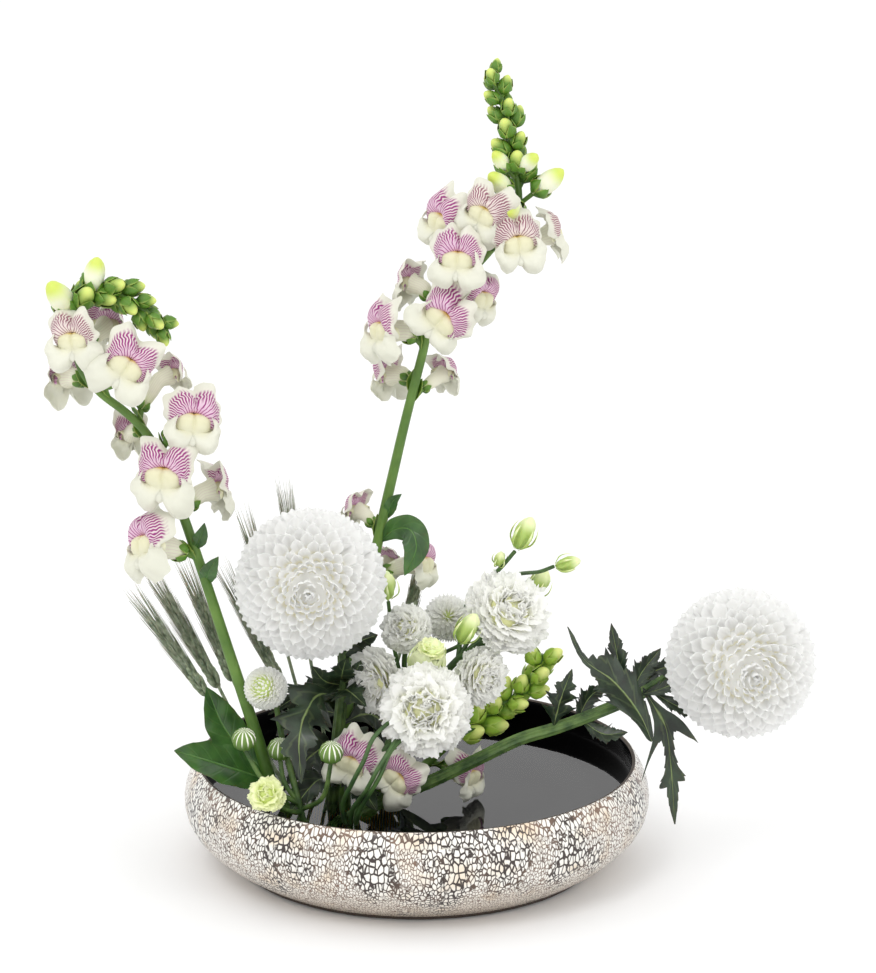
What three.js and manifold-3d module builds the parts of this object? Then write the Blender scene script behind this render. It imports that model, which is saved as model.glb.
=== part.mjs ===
// An ikebana arrangement in a shallow bowl: snapdragons, pompon chrysanthemums, lisianthus, spray
// chrysanthemums and barley, held by a pin holder (kenzan) under water.
// Millimetres, +Z up, -Y towards the viewer. The origin is the centre of the bowl's foot.

import * as THREE from 'three';
import { mergeVertices } from 'three/addons/utils/BufferGeometryUtils.js';
import Module from 'manifold-3d';

const wasm = await Module();
wasm.setup();

// ---------------------------------------------------------------- driving dimensions

const CLEARANCE = 0.35; // how far a neighbour is grown before it is cut away
const TAU = 2 * Math.PI;
const GOLDEN_ANGLE = Math.PI * (3 - Math.sqrt(5));

const BOWL = {
  footRadius: 123,
  footHeight: 4,
  bellyRadius: 160,
  bellyHeight: 48,
  rimRadius: 151,
  height: 72,
  floor: 9,
  wall: 5,
  segments: 36,
};

// Inside of the bowl below its rim: distance from the axis and height, down to the middle of its floor.
const BOWL_INSIDE = [
  [150.5, 54],
  [146, 28],
  [120, BOWL.floor],
  [0, BOWL.floor],
];

const WATER = { level: 54, gap: 0.6 };

const KENZAN = {
  x: -50,
  y: -45,
  radius: 43,
  base: 10,
  pinRadius: 1,
  pinLength: 14,
  pinPitch: 11,
  pinField: 39,
};

const STEM_FOOT = BOWL.floor + KENZAN.base + 4; // cut ends stand this high, between the pins

const FLORET_LENGTH = 27; // from the calyx to the middle of the face
const POM_RADIUS = 50;
const POM_CORE = 0.78; // radius of the core that the petals stand out of, as a share of the bloom's
const BLADE = 1; // thickness of a leaf at its midrib

// ---------------------------------------------------------------- colours

const FINISH = {
  glaze: { color: 0xe9e2d8, roughness: 0.35, metalness: 0 },
  water: { color: 0x20262a, roughness: 0.05, metalness: 0 },
  lead: { color: 0x6f7276, roughness: 0.45, metalness: 0.9 },
  stem: { color: 0x6f9a34, roughness: 0.6, metalness: 0 },
  mumStem: { color: 0x3d5a2c, roughness: 0.6, metalness: 0 },
  spray: { color: 0x86a25a, roughness: 0.6, metalness: 0 },
  floret: { color: 0xf1eedb, roughness: 0.55, metalness: 0 },
  pom: { color: 0xf7f7f4, roughness: 0.55, metalness: 0 },
  lisianthus: { color: 0xf4f5ec, roughness: 0.55, metalness: 0 },
  greenBud: { color: 0xc3d488, roughness: 0.55, metalness: 0 },
  barley: { color: 0x8c9a76, roughness: 0.7, metalness: 0 },
};

// ---------------------------------------------------------------- small tools

const vec = (p) => new THREE.Vector3(p[0], p[1], p[2]);
const mix = THREE.MathUtils.lerp;
const radians = THREE.MathUtils.degToRad;

/** Seeded random numbers from 0 to 1. */
function dice(seed) {
  let state = seed;
  return () => {
    state = (state * 1664525 + 1013904223) % 4294967296;
    return state / 4294967296;
  };
}

/** Two directions across a third, the first as near to `hint` as it can be. */
function across(direction, hint = new THREE.Vector3(0, 0, 1)) {
  const up = hint.clone().addScaledVector(direction, -hint.dot(direction));
  if (up.lengthSq() < 1e-6) {
    up.set(direction.y, -direction.x, 0.01);
    up.addScaledVector(direction, -up.dot(direction));
  }
  up.normalize();
  const side = new THREE.Vector3().crossVectors(direction, up).normalize();
  return { up, side };
}

/** Points of an oval round `centre`. */
function oval(centre, side, up, width, height, sides) {
  const ring = [];
  for (let k = 0; k < sides; k++) {
    const angle = (TAU * k) / sides;
    const point = centre.clone();
    point.addScaledVector(side, width * Math.cos(angle));
    point.addScaledVector(up, height * Math.sin(angle));
    ring.push(point);
  }
  return ring;
}

function signedVolume(points, triangles) {
  const normal = new THREE.Vector3();
  let sum = 0;
  for (const [a, b, c] of triangles) {
    sum += points[a].dot(normal.crossVectors(points[b], points[c]));
  }
  return sum / 6;
}

/** A manifold solid of points and triangles, turned so that its faces point out. */
function solidOf(points, triangles) {
  const outward = signedVolume(points, triangles) > 0;
  const corners = triangles.flatMap(([a, b, c]) => (outward ? [a, b, c] : [a, c, b]));
  return new wasm.Manifold(new wasm.Mesh({
    numProp: 3,
    vertProperties: new Float32Array(points.flatMap((p) => [p.x, p.y, p.z])),
    triVerts: new Uint32Array(corners),
  }));
}

/**
 * A closed skin over rings of points. A ring of one point closes an end; any other end ring is capped.
 * `crossed(band, side)` says which way a quad is split, so that both faces of a blade split alike.
 */
function loft(rings, crossed = () => false) {
  const points = rings.flat();
  const triangles = [];
  let first = 0;
  for (let band = 0; band + 1 < rings.length; band++) {
    const here = rings[band].length;
    const next = rings[band + 1].length;
    const second = first + here;
    const sides = Math.max(here, next);
    for (let k = 0; k < sides; k++) {
      const a = first + (k % here);
      const b = first + ((k + 1) % here);
      const c = second + (k % next);
      const d = second + ((k + 1) % next);
      if (here === 1) triangles.push([a, d, c]);
      else if (next === 1) triangles.push([a, b, c]);
      else if (crossed(band, k)) triangles.push([a, b, c], [b, d, c]);
      else triangles.push([a, b, d], [a, d, c]);
    }
    first = second;
  }
  const last = points.length - rings[rings.length - 1].length;
  for (let k = 1; k + 1 < rings[0].length; k++) triangles.push([0, k + 1, k]);
  for (let k = last + 1; k + 1 < points.length; k++) triangles.push([last, k, k + 1]);
  return solidOf(points, triangles);
}

/** A three.js geometry as a manifold solid. */
function solidFrom(geometry) {
  const plain = geometry.clone();
  plain.deleteAttribute('normal');
  plain.deleteAttribute('uv');
  const merged = mergeVertices(plain, 1e-3);
  const place = merged.getAttribute('position');
  const index = merged.getIndex();
  const points = [];
  const triangles = [];
  for (let k = 0; k < place.count; k++) points.push(new THREE.Vector3().fromBufferAttribute(place, k));
  for (let k = 0; k < index.count; k += 3) {
    const corners = [index.getX(k), index.getX(k + 1), index.getX(k + 2)];
    if (new Set(corners).size === 3) triangles.push(corners);
  }
  return solidOf(points, triangles);
}

/** A solid of revolution about the bowl's axis. */
function turned(profile) {
  const outline = profile.map(([r, z]) => new THREE.Vector2(r, z));
  return solidFrom(new THREE.LatheGeometry(outline, BOWL.segments).rotateX(Math.PI / 2));
}

const fuse = (solids) => solids.reduce((whole, solid) => whole.add(solid));

/** The biggest body of a solid, without loose scraps. */
function main(solid) {
  const bodies = solid.decompose();
  return bodies.reduce((best, body) => (body.volume() > best.volume() ? body : best));
}

/** The solid with every vertex moved out along the mean normal of its faces. */
function grown(solid, distance) {
  const { vertProperties, triVerts } = solid.getMesh();
  const points = [];
  for (let k = 0; k < vertProperties.length; k += 3) {
    points.push(new THREE.Vector3(vertProperties[k], vertProperties[k + 1], vertProperties[k + 2]));
  }
  const normals = points.map(() => new THREE.Vector3());
  const triangles = [];
  const face = new THREE.Triangle();
  const normal = new THREE.Vector3();
  for (let k = 0; k < triVerts.length; k += 3) {
    const corners = [triVerts[k], triVerts[k + 1], triVerts[k + 2]];
    face.set(...corners.map((c) => points[c]));
    face.getNormal(normal);
    corners.forEach((c) => normals[c].add(normal));
    triangles.push(corners);
  }
  points.forEach((point, k) => point.addScaledVector(normals[k].normalize(), distance));
  return solidOf(points, triangles);
}

function boxesMeet(a, b) {
  const one = a.boundingBox();
  const two = b.boundingBox();
  return [0, 1, 2].every((k) => one.min[k] < two.max[k] && two.min[k] < one.max[k]);
}

// ---------------------------------------------------------------- the arrangement

const arrangement = new THREE.Group();
arrangement.name = 'ikebana_arrangement';
const rooms = []; // the space that each placed piece takes, with its clearance

function meshOf(name, solid, finish) {
  const { vertProperties, triVerts } = solid.getMesh();
  const geometry = new THREE.BufferGeometry();
  geometry.setAttribute('position', new THREE.BufferAttribute(new Float32Array(vertProperties), 3));
  geometry.setIndex(new THREE.BufferAttribute(new Uint32Array(triVerts), 1));
  geometry.computeVertexNormals();
  const mesh = new THREE.Mesh(geometry, new THREE.MeshStandardMaterial({ ...finish, name }));
  mesh.name = name;
  return mesh;
}

/** Adds a piece, cut clear of the pieces that were placed before it. */
function place(name, solid, finish) {
  let piece = solid;
  for (const room of rooms) {
    if (boxesMeet(piece, room)) piece = piece.subtract(room);
  }
  piece = main(piece);
  rooms.push(grown(piece, CLEARANCE).add(piece));
  arrangement.add(meshOf(name, piece, finish));
}

// ---------------------------------------------------------------- bowl, pin holder

function bowl() {
  const profile = [
    [0, 0],
    [BOWL.footRadius, 0],
    [BOWL.footRadius + 1, BOWL.footHeight],
    [147, 19],
    [BOWL.bellyRadius - 2, 34],
    [BOWL.bellyRadius, BOWL.bellyHeight],
    [BOWL.rimRadius, BOWL.height - 1],
    [BOWL.rimRadius - BOWL.wall / 2, BOWL.height],
    [BOWL.rimRadius - BOWL.wall, BOWL.height - 1.5],
    ...BOWL_INSIDE,
  ];
  return turned(profile);
}

function kenzan() {
  const { x, y, radius, base, pinRadius, pinLength, pinPitch, pinField } = KENZAN;
  const floor = BOWL.floor + 0.4;
  const disc = new THREE.CylinderGeometry(radius - 1, radius, base, 24).rotateX(Math.PI / 2);
  disc.translate(x, y, floor + base / 2);
  const parts = [solidFrom(disc)];
  const rowPitch = pinPitch * Math.sqrt(0.75);
  const rows = Math.floor(pinField / rowPitch);
  for (let row = -rows; row <= rows; row++) {
    const shift = row % 2 === 0 ? 0 : pinPitch / 2;
    for (let px = shift - pinField - pinPitch; px <= pinField; px += pinPitch) {
      if (Math.hypot(px, row * rowPitch) > pinField) continue;
      const pin = new THREE.ConeGeometry(pinRadius, pinLength + 2, 3).rotateX(Math.PI / 2);
      pin.translate(x + px, y + row * rowPitch, floor + base + pinLength / 2 - 1);
      parts.push(solidFrom(pin));
    }
  }
  return fuse(parts);
}

// ---------------------------------------------------------------- stems, buds and leaves

const pathOf = (points) => new THREE.CatmullRomCurve3(points.map(vec), false, 'centripetal');

/** A round stem that tapers along a path. */
function stem(points, startRadius, endRadius, steps, sides = 6) {
  const path = pathOf(points);
  const frames = path.computeFrenetFrames(steps);
  const rings = [];
  for (let k = 0; k <= steps; k++) {
    const radius = mix(startRadius, endRadius, k / steps);
    const centre = path.getPointAt(k / steps);
    rings.push(oval(centre, frames.normals[k], frames.binormals[k], radius, radius, sides));
  }
  return loft(rings);
}

/** The place along a path, from 0 to 1, that lies nearest to a point. */
function nearest(path, point) {
  let best = 0;
  for (let t = 0; t <= 1; t += 0.01) {
    if (path.getPointAt(t).distanceTo(point) < path.getPointAt(best).distanceTo(point)) best = t;
  }
  return best;
}

/** An egg-shaped bud on a thin root. */
function bud(root, middle, width, sides = 4) {
  const direction = middle.clone().sub(root);
  const length = direction.length();
  direction.normalize();
  const { up, side } = across(direction);
  const at = (along, r) => oval(root.clone().addScaledVector(direction, along), side, up, r, r, sides);
  const low = at(length - width * 0.3, width * 0.44);
  const high = at(length + width * 0.25, width * 0.46);
  return loft([[root], low, high, [middle.clone().addScaledVector(direction, width * 0.8)]]);
}

/**
 * A leaf along a bent midrib. `lobes` gives its outline as a share of the width, station by station,
 * and `cup` lifts its edges.
 */
function leaf({ rib, width, lobes, cup = 0.15, face = [0, 0, 1] }) {
  const path = pathOf(rib);
  const hint = vec(face);
  const rings = [[path.getPointAt(0)]];
  lobes.forEach((share, k) => {
    const t = (k + 0.6) / (lobes.length + 0.1);
    const centre = path.getPointAt(t);
    const { up, side } = across(path.getTangentAt(t), hint);
    const half = (width * share) / 2;
    const at = (sideways, high) =>
      centre.clone().addScaledVector(side, sideways).addScaledVector(up, high);
    rings.push([at(half, cup * half), at(0, BLADE / 2), at(-half, cup * half), at(0, -BLADE / 2)]);
  });
  rings.push([path.getPointAt(1)]);
  return loft(rings, (band, k) => k % 2 === 1);
}

const OVAL_LEAF = [0.55, 0.9, 1, 0.9, 0.55];
const NARROW_LEAF = [0.7, 1, 0.6];
const LOBED_LEAF = [0.3, 0.95, 0.45, 1, 0.4, 0.75, 0.3];

// ---------------------------------------------------------------- snapdragons

// A floret is one skin over rings, from its calyx out to the edge of its lips and back to its mouth.
// Each ring: how far forward and how far from the axis it lies, on the upper and the lower lip.
const FLORET_RINGS = [
  { upper: [0.5, 1.9], lower: [0.5, 1.9], rise: 0, lobed: 0 },
  { upper: [19, 9], lower: [22, 11], rise: 0, lobed: 0 },
  { upper: [18, 29], lower: [26, 30], rise: 0, lobed: 1 },
  { upper: [23, 18.5], lower: [29.5, 19], rise: 0, lobed: 0.5 },
  { upper: [25, 8], lower: [35, 12], rise: 3, lobed: 0 },
];
const FLORET_EDGE = 2;
const FLORET_MOUTH = [27, 6];
// Outline of the lips from the top down, one value every 36 degrees: two lobes above, three below.
const FLORET_LOBES = [0.86, 1.05, 0.6, 1, 0.8, 1];
const FLORET_SIDES = 10;

/** One open floret. `turn`, `lift` and `roll` say where its mouth points, in degrees. */
function floret({ face, turn, lift = 0, roll = 0, size = 1 }) {
  const forward = facing(turn, lift);
  const { up, side } = across(forward);
  up.applyAxisAngle(forward, radians(-roll));
  side.applyAxisAngle(forward, radians(-roll));
  const root = vec(face).addScaledVector(forward, -FLORET_LENGTH * size);
  const at = (ahead, wide, high) => {
    const offset = forward.clone().multiplyScalar(ahead);
    offset.addScaledVector(side, wide).addScaledVector(up, high);
    return root.clone().addScaledVector(offset, size);
  };
  const rings = FLORET_RINGS.map(({ upper, lower, rise, lobed }, ring) => {
    const points = [];
    for (let k = 0; k < FLORET_SIDES; k++) {
      const angle = (TAU * k) / FLORET_SIDES;
      const step = Math.min(k, FLORET_SIDES - k);
      const below = THREE.MathUtils.smoothstep(step, 1, 3);
      const radius = mix(upper[1], lower[1], below) * mix(1, FLORET_LOBES[step], lobed);
      const ruffle = ring === FLORET_EDGE ? 1.5 * Math.sin(3 * angle + turn) : 0;
      const ahead = mix(upper[0], lower[0], below) + ruffle;
      points.push(at(ahead, 0.88 * radius * Math.sin(angle), rise + radius * Math.cos(angle)));
    }
    return points;
  });
  rings.push([at(FLORET_MOUTH[0], 0, FLORET_MOUTH[1])]);
  return loft(rings, (band) => band >= FLORET_EDGE);
}

/** The direction of a flower that looks `turn` degrees right of the viewer and `lift` degrees up. */
function facing(turn, lift) {
  const level = Math.cos(radians(lift));
  return new THREE.Vector3(
    Math.sin(radians(turn)) * level,
    -Math.cos(radians(turn)) * level,
    Math.sin(radians(lift)),
  );
}

const SEPAL_SIDES = 6; // every second side is a sepal

/** The flower stalk and the sepals that hold a floret. */
function calyx(path, { face, turn, lift = 0, size = 1 }) {
  const forward = facing(turn, lift);
  const seat = vec(face).addScaledVector(forward, -FLORET_LENGTH * size);
  const t = Math.max(0, nearest(path, seat) - 0.02);
  const root = path.getPointAt(t);
  const { up, side } = across(forward);
  const at = (ahead, away, k) => {
    const angle = (TAU * k) / SEPAL_SIDES;
    const point = seat.clone().addScaledVector(forward, ahead);
    return point.addScaledVector(side, away * Math.cos(angle)).addScaledVector(up, away * Math.sin(angle));
  };
  const ring = (point) => Array.from({ length: SEPAL_SIDES }, (_, k) => point(k));
  return loft([
    oval(root, side, up, 1.6, 1.6, SEPAL_SIDES),
    ring((k) => at(-2.5, 2.6, k)),
    ring((k) => (k % 2 ? at(9, 9.6, k) : at(0, 3.2, k))),
    ring((k) => at(-0.4, 2.2, k)),
  ], (band) => band === 2);
}

/** Buds in a spiral round the tip of a snapdragon stem, smaller and closer towards its end. */
function budSpiral(path, { from, to, count, stand, large, small, seed }) {
  const random = dice(seed);
  const parts = [];
  for (let k = 0; k < count; k++) {
    const share = k / (count - 1);
    const t = mix(from, to, share ** 0.9);
    const tangent = path.getTangentAt(t);
    const { up, side } = across(tangent, new THREE.Vector3(0, 1, 0));
    const angle = k * GOLDEN_ANGLE + 0.5 * random();
    const out = side.multiplyScalar(Math.cos(angle)).addScaledVector(up, Math.sin(angle));
    const width = mix(large, small, share);
    const root = path.getPointAt(t);
    const middle = root.clone().addScaledVector(out, mix(stand, stand * 0.45, share));
    middle.addScaledVector(tangent, width * 0.7);
    parts.push(bud(root, middle, width));
  }
  return parts;
}

// ---------------------------------------------------------------- chrysanthemums and lisianthus

/** A pompon bloom: a core that blunt petals stand out of, each leaning away from the bloom's middle. */
function pom({ centre, turn, lift, petals, radius = POM_RADIUS }) {
  const axis = facing(turn, lift);
  const middle = vec(centre);
  const { up, side } = across(axis);
  const core = new THREE.IcosahedronGeometry(radius * POM_CORE, 1).translate(...centre);
  const parts = [solidFrom(core)];
  for (let k = 0; k < petals; k++) {
    const polar = Math.acos(1 - (1.66 * (k + 0.5)) / petals);
    const round = k * GOLDEN_ANGLE;
    const away = side.clone().multiplyScalar(Math.cos(round)).addScaledVector(up, Math.sin(round));
    const wide = new THREE.Vector3().crossVectors(axis, away);
    const towards = (lean) =>
      axis.clone().multiplyScalar(Math.cos(polar + lean)).addScaledVector(away, Math.sin(polar + lean));
    const grow = mix(0.75, 1, Math.min(1, polar));
    const at = (lean, reach, sideways) =>
      middle.clone().addScaledVector(towards(lean), radius * reach).addScaledVector(wide, sideways * grow);
    const root = [at(0, 0.6, 3), at(0.04, 0.6, 0), at(0, 0.6, -3)];
    const blade = [at(0.08, 0.93, 8.5), at(-0.03, 0.86, 0), at(0.08, 0.93, -8.5)];
    parts.push(loft([root, blade, [at(0.22, 1, 0)]]));
  }
  return fuse(parts);
}

// A ruffled bloom is one skin that folds in and out in rings, frill within frill.
// Each ring: distance from the axis and height along it, as shares of the bloom's radius.
const FRILL_RINGS = [
  { out: 0.14, high: -0.72, edge: 0 },
  { out: 0.62, high: -0.34, edge: 0.3 },
  { out: 1.0, high: 0.06, edge: 1 },
  { out: 0.64, high: -0.14, edge: 0.2 },
  { out: 0.86, high: 0.42, edge: 1 },
  { out: 0.44, high: 0.04, edge: 0.2 },
  { out: 0.58, high: 0.68, edge: 1 },
  { out: 0.26, high: 0.24, edge: 0.2 },
  { out: 0.28, high: 0.82, edge: 0.8 },
];
const FRILL_FIRST_EDGE = 2;

function ruffledBloom({ centre, turn, lift, radius, sides = 15, ruffle = 0.09, jagged = 0, seed = 1 }) {
  const random = dice(seed);
  const axis = facing(turn, lift);
  const { up, side } = across(axis);
  const middle = vec(centre);
  const rings = FRILL_RINGS.map(({ out, high, edge }, ring) => {
    const points = [];
    const phase = ring * 1.3;
    for (let k = 0; k < sides; k++) {
      const angle = (TAU * k) / sides;
      const wave = edge * (ruffle * (2 * random() - 1) + 0.05 * Math.cos(5 * angle + phase));
      const jag = k % 2 === ring % 4 >> 1 ? 1 - jagged * edge : 1;
      const reach = radius * out * (1 + wave) * jag;
      const height = radius * (high + 0.7 * edge * ruffle * (2 * random() - 1));
      const point = middle.clone().addScaledVector(axis, height);
      point.addScaledVector(side, reach * Math.cos(angle));
      point.addScaledVector(up, reach * Math.sin(angle));
      points.push(point);
    }
    return points;
  });
  rings.unshift([middle.clone().addScaledVector(axis, -0.76 * radius)]);
  rings.push([middle.clone().addScaledVector(axis, 0.5 * radius)]);
  return loft(rings, (band) => band > FRILL_FIRST_EDGE && band % 2 === 1);
}

/** The stalk's last stretch under a bloom or bud, ending against the underside of the bloom. */
const under = ({ centre, turn, lift, radius }, gap = 0.7) =>
  vec(centre).addScaledVector(facing(turn, lift), -0.76 * radius - gap).toArray();

/** A ribbed closed bud of a spray chrysanthemum. */
function ribbedBud(centre, radius, direction) {
  const middle = vec(centre);
  const axis = vec(direction).normalize();
  const { up, side } = across(axis);
  const along = (high) => middle.clone().addScaledVector(axis, high * radius);
  const at = (high, reach) => {
    const points = oval(along(high), side, up, reach * radius, reach * radius, 10);
    return points.map((point, k) => (k % 2 ? point.lerp(middle, 0.14) : point));
  };
  return loft([at(-0.9, 0.4), at(-0.2, 1), at(0.6, 0.8), [along(0.9)]]);
}

// ---------------------------------------------------------------- barley

/** An ear of barley on its straw, with long awns. */
function barley({ straw, tip, awns, seed }) {
  const random = dice(seed);
  const base = vec(straw[straw.length - 1]);
  const axis = vec(tip).sub(base);
  const length = axis.length();
  axis.normalize();
  const { up, side } = across(axis);
  const head = length * 0.62;
  const at = (share, r) => oval(base.clone().addScaledVector(axis, head * share), side, up, r, r * 0.75, 6);
  const tipOf = (share) => base.clone().addScaledVector(axis, head * share);
  const parts = [stem(straw, 1.5, 1.2, 4, 4)];
  parts.push(loft([[tipOf(-0.06)], at(0.15, 3.4), at(0.6, 3.8), [tipOf(1.04)]]));
  for (let k = 0; k < awns; k++) {
    const share = mix(0.12, 0.9, k / (awns - 1));
    const angle = k * GOLDEN_ANGLE + random();
    const out = side.clone().multiplyScalar(Math.cos(angle)).addScaledVector(up, 0.75 * Math.sin(angle));
    const root = tipOf(share).addScaledVector(out, 1);
    const reach = length * mix(0.42, 0.3, share) + head * (1 - share) * 0.5;
    const end = root.clone().addScaledVector(axis, reach).addScaledVector(out, 5 + reach * 0.16);
    const cross = across(end.clone().sub(root).normalize());
    parts.push(loft([oval(root, cross.side, cross.up, 1.1, 1.1, 3), [end]]));
  }
  return fuse(parts);
}

// ---------------------------------------------------------------- the bowl and what stands in it

place('bowl', bowl(), FINISH.glaze);
place('kenzan', kenzan(), FINISH.lead);

// The long stems. Each path runs from its cut end between the pins to its tip.
const TALL_PATH = [
  [-49, -27, STEM_FOOT], [-49, -20, 91], [-45, -14, 132], [-36, -8, 180], [-23, -4, 242], [-14, -2, 282],
  [-7, 0, 312], [5, 0, 360], [11, 0, 386], [26, 0, 401], [52, 0, 430], [64, 0, 446], [68, 0, 460],
  [64, 0, 489], [60, 0, 515], [49, 0, 546],
];
const LEFT_PATH = [
  [-74, -56, STEM_FOOT], [-81, -58, 44], [-95, -60, 68], [-108, -62, 112], [-123, -63, 162], [-143, -60, 227],
  [-157, -55, 268], [-176, -50, 312], [-190, -48, 327], [-208, -46, 341], [-219, -46, 355], [-223, -47, 373],
  [-221, -48, 392], [-215, -50, 406], [-203, -52, 411], [-189, -54, 406], [-176, -55, 397], [-162, -56, 383],
];
const LOW_PATH = [
  [-36, -46, STEM_FOOT], [-21, -40, 55], [2, -30, 73], [23, -25, 91], [42, -22, 105], [57, -20, 116],
  [70, -20, 124], [80, -20, 136], [86, -20, 152],
];
const RIGHT_POM_PATH = [
  [-58, -65, STEM_FOOT], [-48, -63, 47], [-11, -62, 67], [9, -60, 75], [36, -56, 87], [70, -50, 102],
  [93, -46, 108], [124, -40, 118], [151, -30, 127], [178, -14, 138], [200, -11, 150], [207, -26, 153],
];
const LEFT_POM_PATH = [
  [-60, -37, STEM_FOOT], [-53, -35, 100], [-49, -31, 145], [-53, -18, 178], [-62, -10, 202], [-70, -28, 211],
];

const TALL_FLORETS = [
  { face: [43, -32, 456], turn: -28, roll: 22, size: 0.8 },
  { face: [15, -12, 447], turn: -55, lift: 5, roll: 12, size: 0.9 },
  { face: [27, -42, 428], turn: -6, lift: 4, roll: 4, size: 0.85 },
  { face: [67, -36, 437], turn: 14, lift: 4, roll: -4, size: 0.85 },
  { face: [93, 5, 437], turn: 100, lift: 18, size: 0.72 },
  { face: [16, -34, 386], turn: -24, lift: -4, roll: 42, size: 0.95 },
  { face: [44, -16, 396], turn: 50, roll: 12, size: 0.8 },
  { face: [-6, 12, 402], turn: -125, lift: 12, size: 0.7 },
  { face: [-24, -14, 374], turn: -62, lift: 6, roll: -6, size: 0.9 },
  { face: [-20, 22, 336], turn: -130, lift: -8, size: 0.75 },
  { face: [20, 22, 338], turn: 140, lift: 14, size: 0.6 },
  { face: [-42, 14, 244], turn: -135, lift: 10, size: 0.6 },
  { face: [-20, 18, 206], turn: 150, lift: 0, size: 0.5 },
  { face: [6, -4, 210], turn: 62, lift: 10, roll: 8, size: 0.75 },
];
const LEFT_FLORETS = [
  { face: [-179, -80, 245], turn: -58, lift: 14, roll: -18 },
  { face: [-165, -84, 292], turn: -14, lift: 4, roll: 4 },
  { face: [-145, -73, 326], turn: 16, lift: 10, roll: 10, size: 0.95 },
  { face: [-131, -34, 272], turn: 120, lift: 10, size: 0.8 },
  { face: [-188, -80, 365], turn: 8, lift: 0, roll: 34, size: 0.95 },
  { face: [-222, -78, 382], turn: -14, lift: 4, roll: -6, size: 0.8 },
  { face: [-204, -22, 380], turn: 160, lift: 8, size: 0.75 },
  { face: [-232, -22, 345], turn: -150, lift: -10, size: 0.75 },
  { face: [-190, -22, 305], turn: -165, lift: -30, size: 0.6 },
  { face: [-160, -24, 348], turn: 125, lift: 14, size: 0.65 },
];
const LOW_FLORETS = [
  { face: [-44, -82, 94], turn: -18, lift: -2, roll: -14, size: 0.85 },
  { face: [-14, -83, 84], turn: -8, lift: -8, roll: 14, size: 0.8 },
  { face: [37, -42, 71], turn: 55, lift: -6, roll: 6, size: 0.75 },
];

/** A snapdragon: its stem with flower stalks, sepals, buds and leaves as one green piece. */
function snapdragon({ points, radius, tipRadius, steps, florets, spirals, buds = [], leaves }) {
  const path = pathOf(points);
  const parts = [stem(points, radius, tipRadius, steps)];
  florets.forEach((each) => parts.push(calyx(path, each)));
  spirals.forEach((spiral) => parts.push(...budSpiral(path, spiral)));
  buds.forEach(({ root, middle, width }) => parts.push(bud(vec(root), vec(middle), width, 5)));
  leaves.forEach((each) => parts.push(leaf(each)));
  return fuse(parts);
}

place('tall_snapdragon', snapdragon({
  points: TALL_PATH,
  radius: 4.6,
  tipRadius: 2,
  steps: 18,
  florets: TALL_FLORETS,
  spirals: [{ from: 0.86, to: 1, count: 16, stand: 9, large: 11, small: 6, seed: 3 }],
  buds: [
    { root: [70, -2, 463], middle: [91, -4, 477], width: 14 },
    { root: [66, -4, 452], middle: [61, -20, 457], width: 18 },
    { root: [66, -2, 470], middle: [56, -8, 478], width: 12 },
  ],
  leaves: [
    {
      rib: [[-24, -5, 232], [-10, -12, 243], [4, -20, 240], [6, -26, 226], [-10, -30, 212]],
      width: 20,
      lobes: OVAL_LEAF,
    },
    {
      rib: [[-20, -5, 244], [-16, -8, 256], [-10, -10, 262]],
      width: 9,
      lobes: NARROW_LEAF,
    },
  ],
}), FINISH.stem);
place('left_snapdragon', snapdragon({
  points: LEFT_PATH,
  radius: 4.6,
  tipRadius: 2,
  steps: 20,
  florets: LEFT_FLORETS,
  spirals: [{ from: 0.84, to: 1, count: 12, stand: 9, large: 12, small: 7, seed: 5 }],
  buds: [
    { root: [-222, -47, 394], middle: [-231, -58, 412], width: 15 },
    { root: [-211, -50, 408], middle: [-210, -50, 426], width: 14 },
  ],
  leaves: [
    {
      rib: [[-100, -60, 76], [-131, -72, 92], [-176, -80, 108]],
      width: 36,
      lobes: OVAL_LEAF,
      face: [0, -0.5, 0.8],
    },
    {
      rib: [[-100, -60, 80], [-128, -52, 108], [-141, -48, 138]],
      width: 28,
      lobes: OVAL_LEAF,
      face: [0.5, -0.8, 0.3],
    },
    {
      rib: [[-140, -60, 214], [-136, -68, 226], [-130, -72, 236]],
      width: 12,
      lobes: NARROW_LEAF,
      face: [0, -1, 0],
    },
    {
      rib: [[-146, -60, 238], [-141, -66, 250], [-139, -68, 258]],
      width: 10,
      lobes: NARROW_LEAF,
      face: [0, -1, 0],
    },
  ],
}), FINISH.stem);
place('short_snapdragon', snapdragon({
  points: LOW_PATH,
  radius: 4,
  tipRadius: 2,
  steps: 14,
  florets: LOW_FLORETS,
  spirals: [{ from: 0.56, to: 1, count: 12, stand: 10, large: 11, small: 9, seed: 9 }],
  leaves: [
    {
      rib: [[40, -22, 104], [36, -34, 104], [26, -42, 97]],
      width: 9,
      lobes: NARROW_LEAF,
    },
  ],
}), FINISH.stem);

/** A chrysanthemum stem with lobed leaves. */
function leafyStem({ points, radius, tipRadius, steps, leaves }) {
  return fuse([stem(points, radius, tipRadius, steps), ...leaves.map(leaf)]);
}

const RIGHT_POM = { centre: [217, -50, 156], turn: 8, lift: 4, petals: 54 };
const LEFT_POM = { centre: [-70, -60, 214], turn: 0, lift: 6, petals: 54 };

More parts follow.
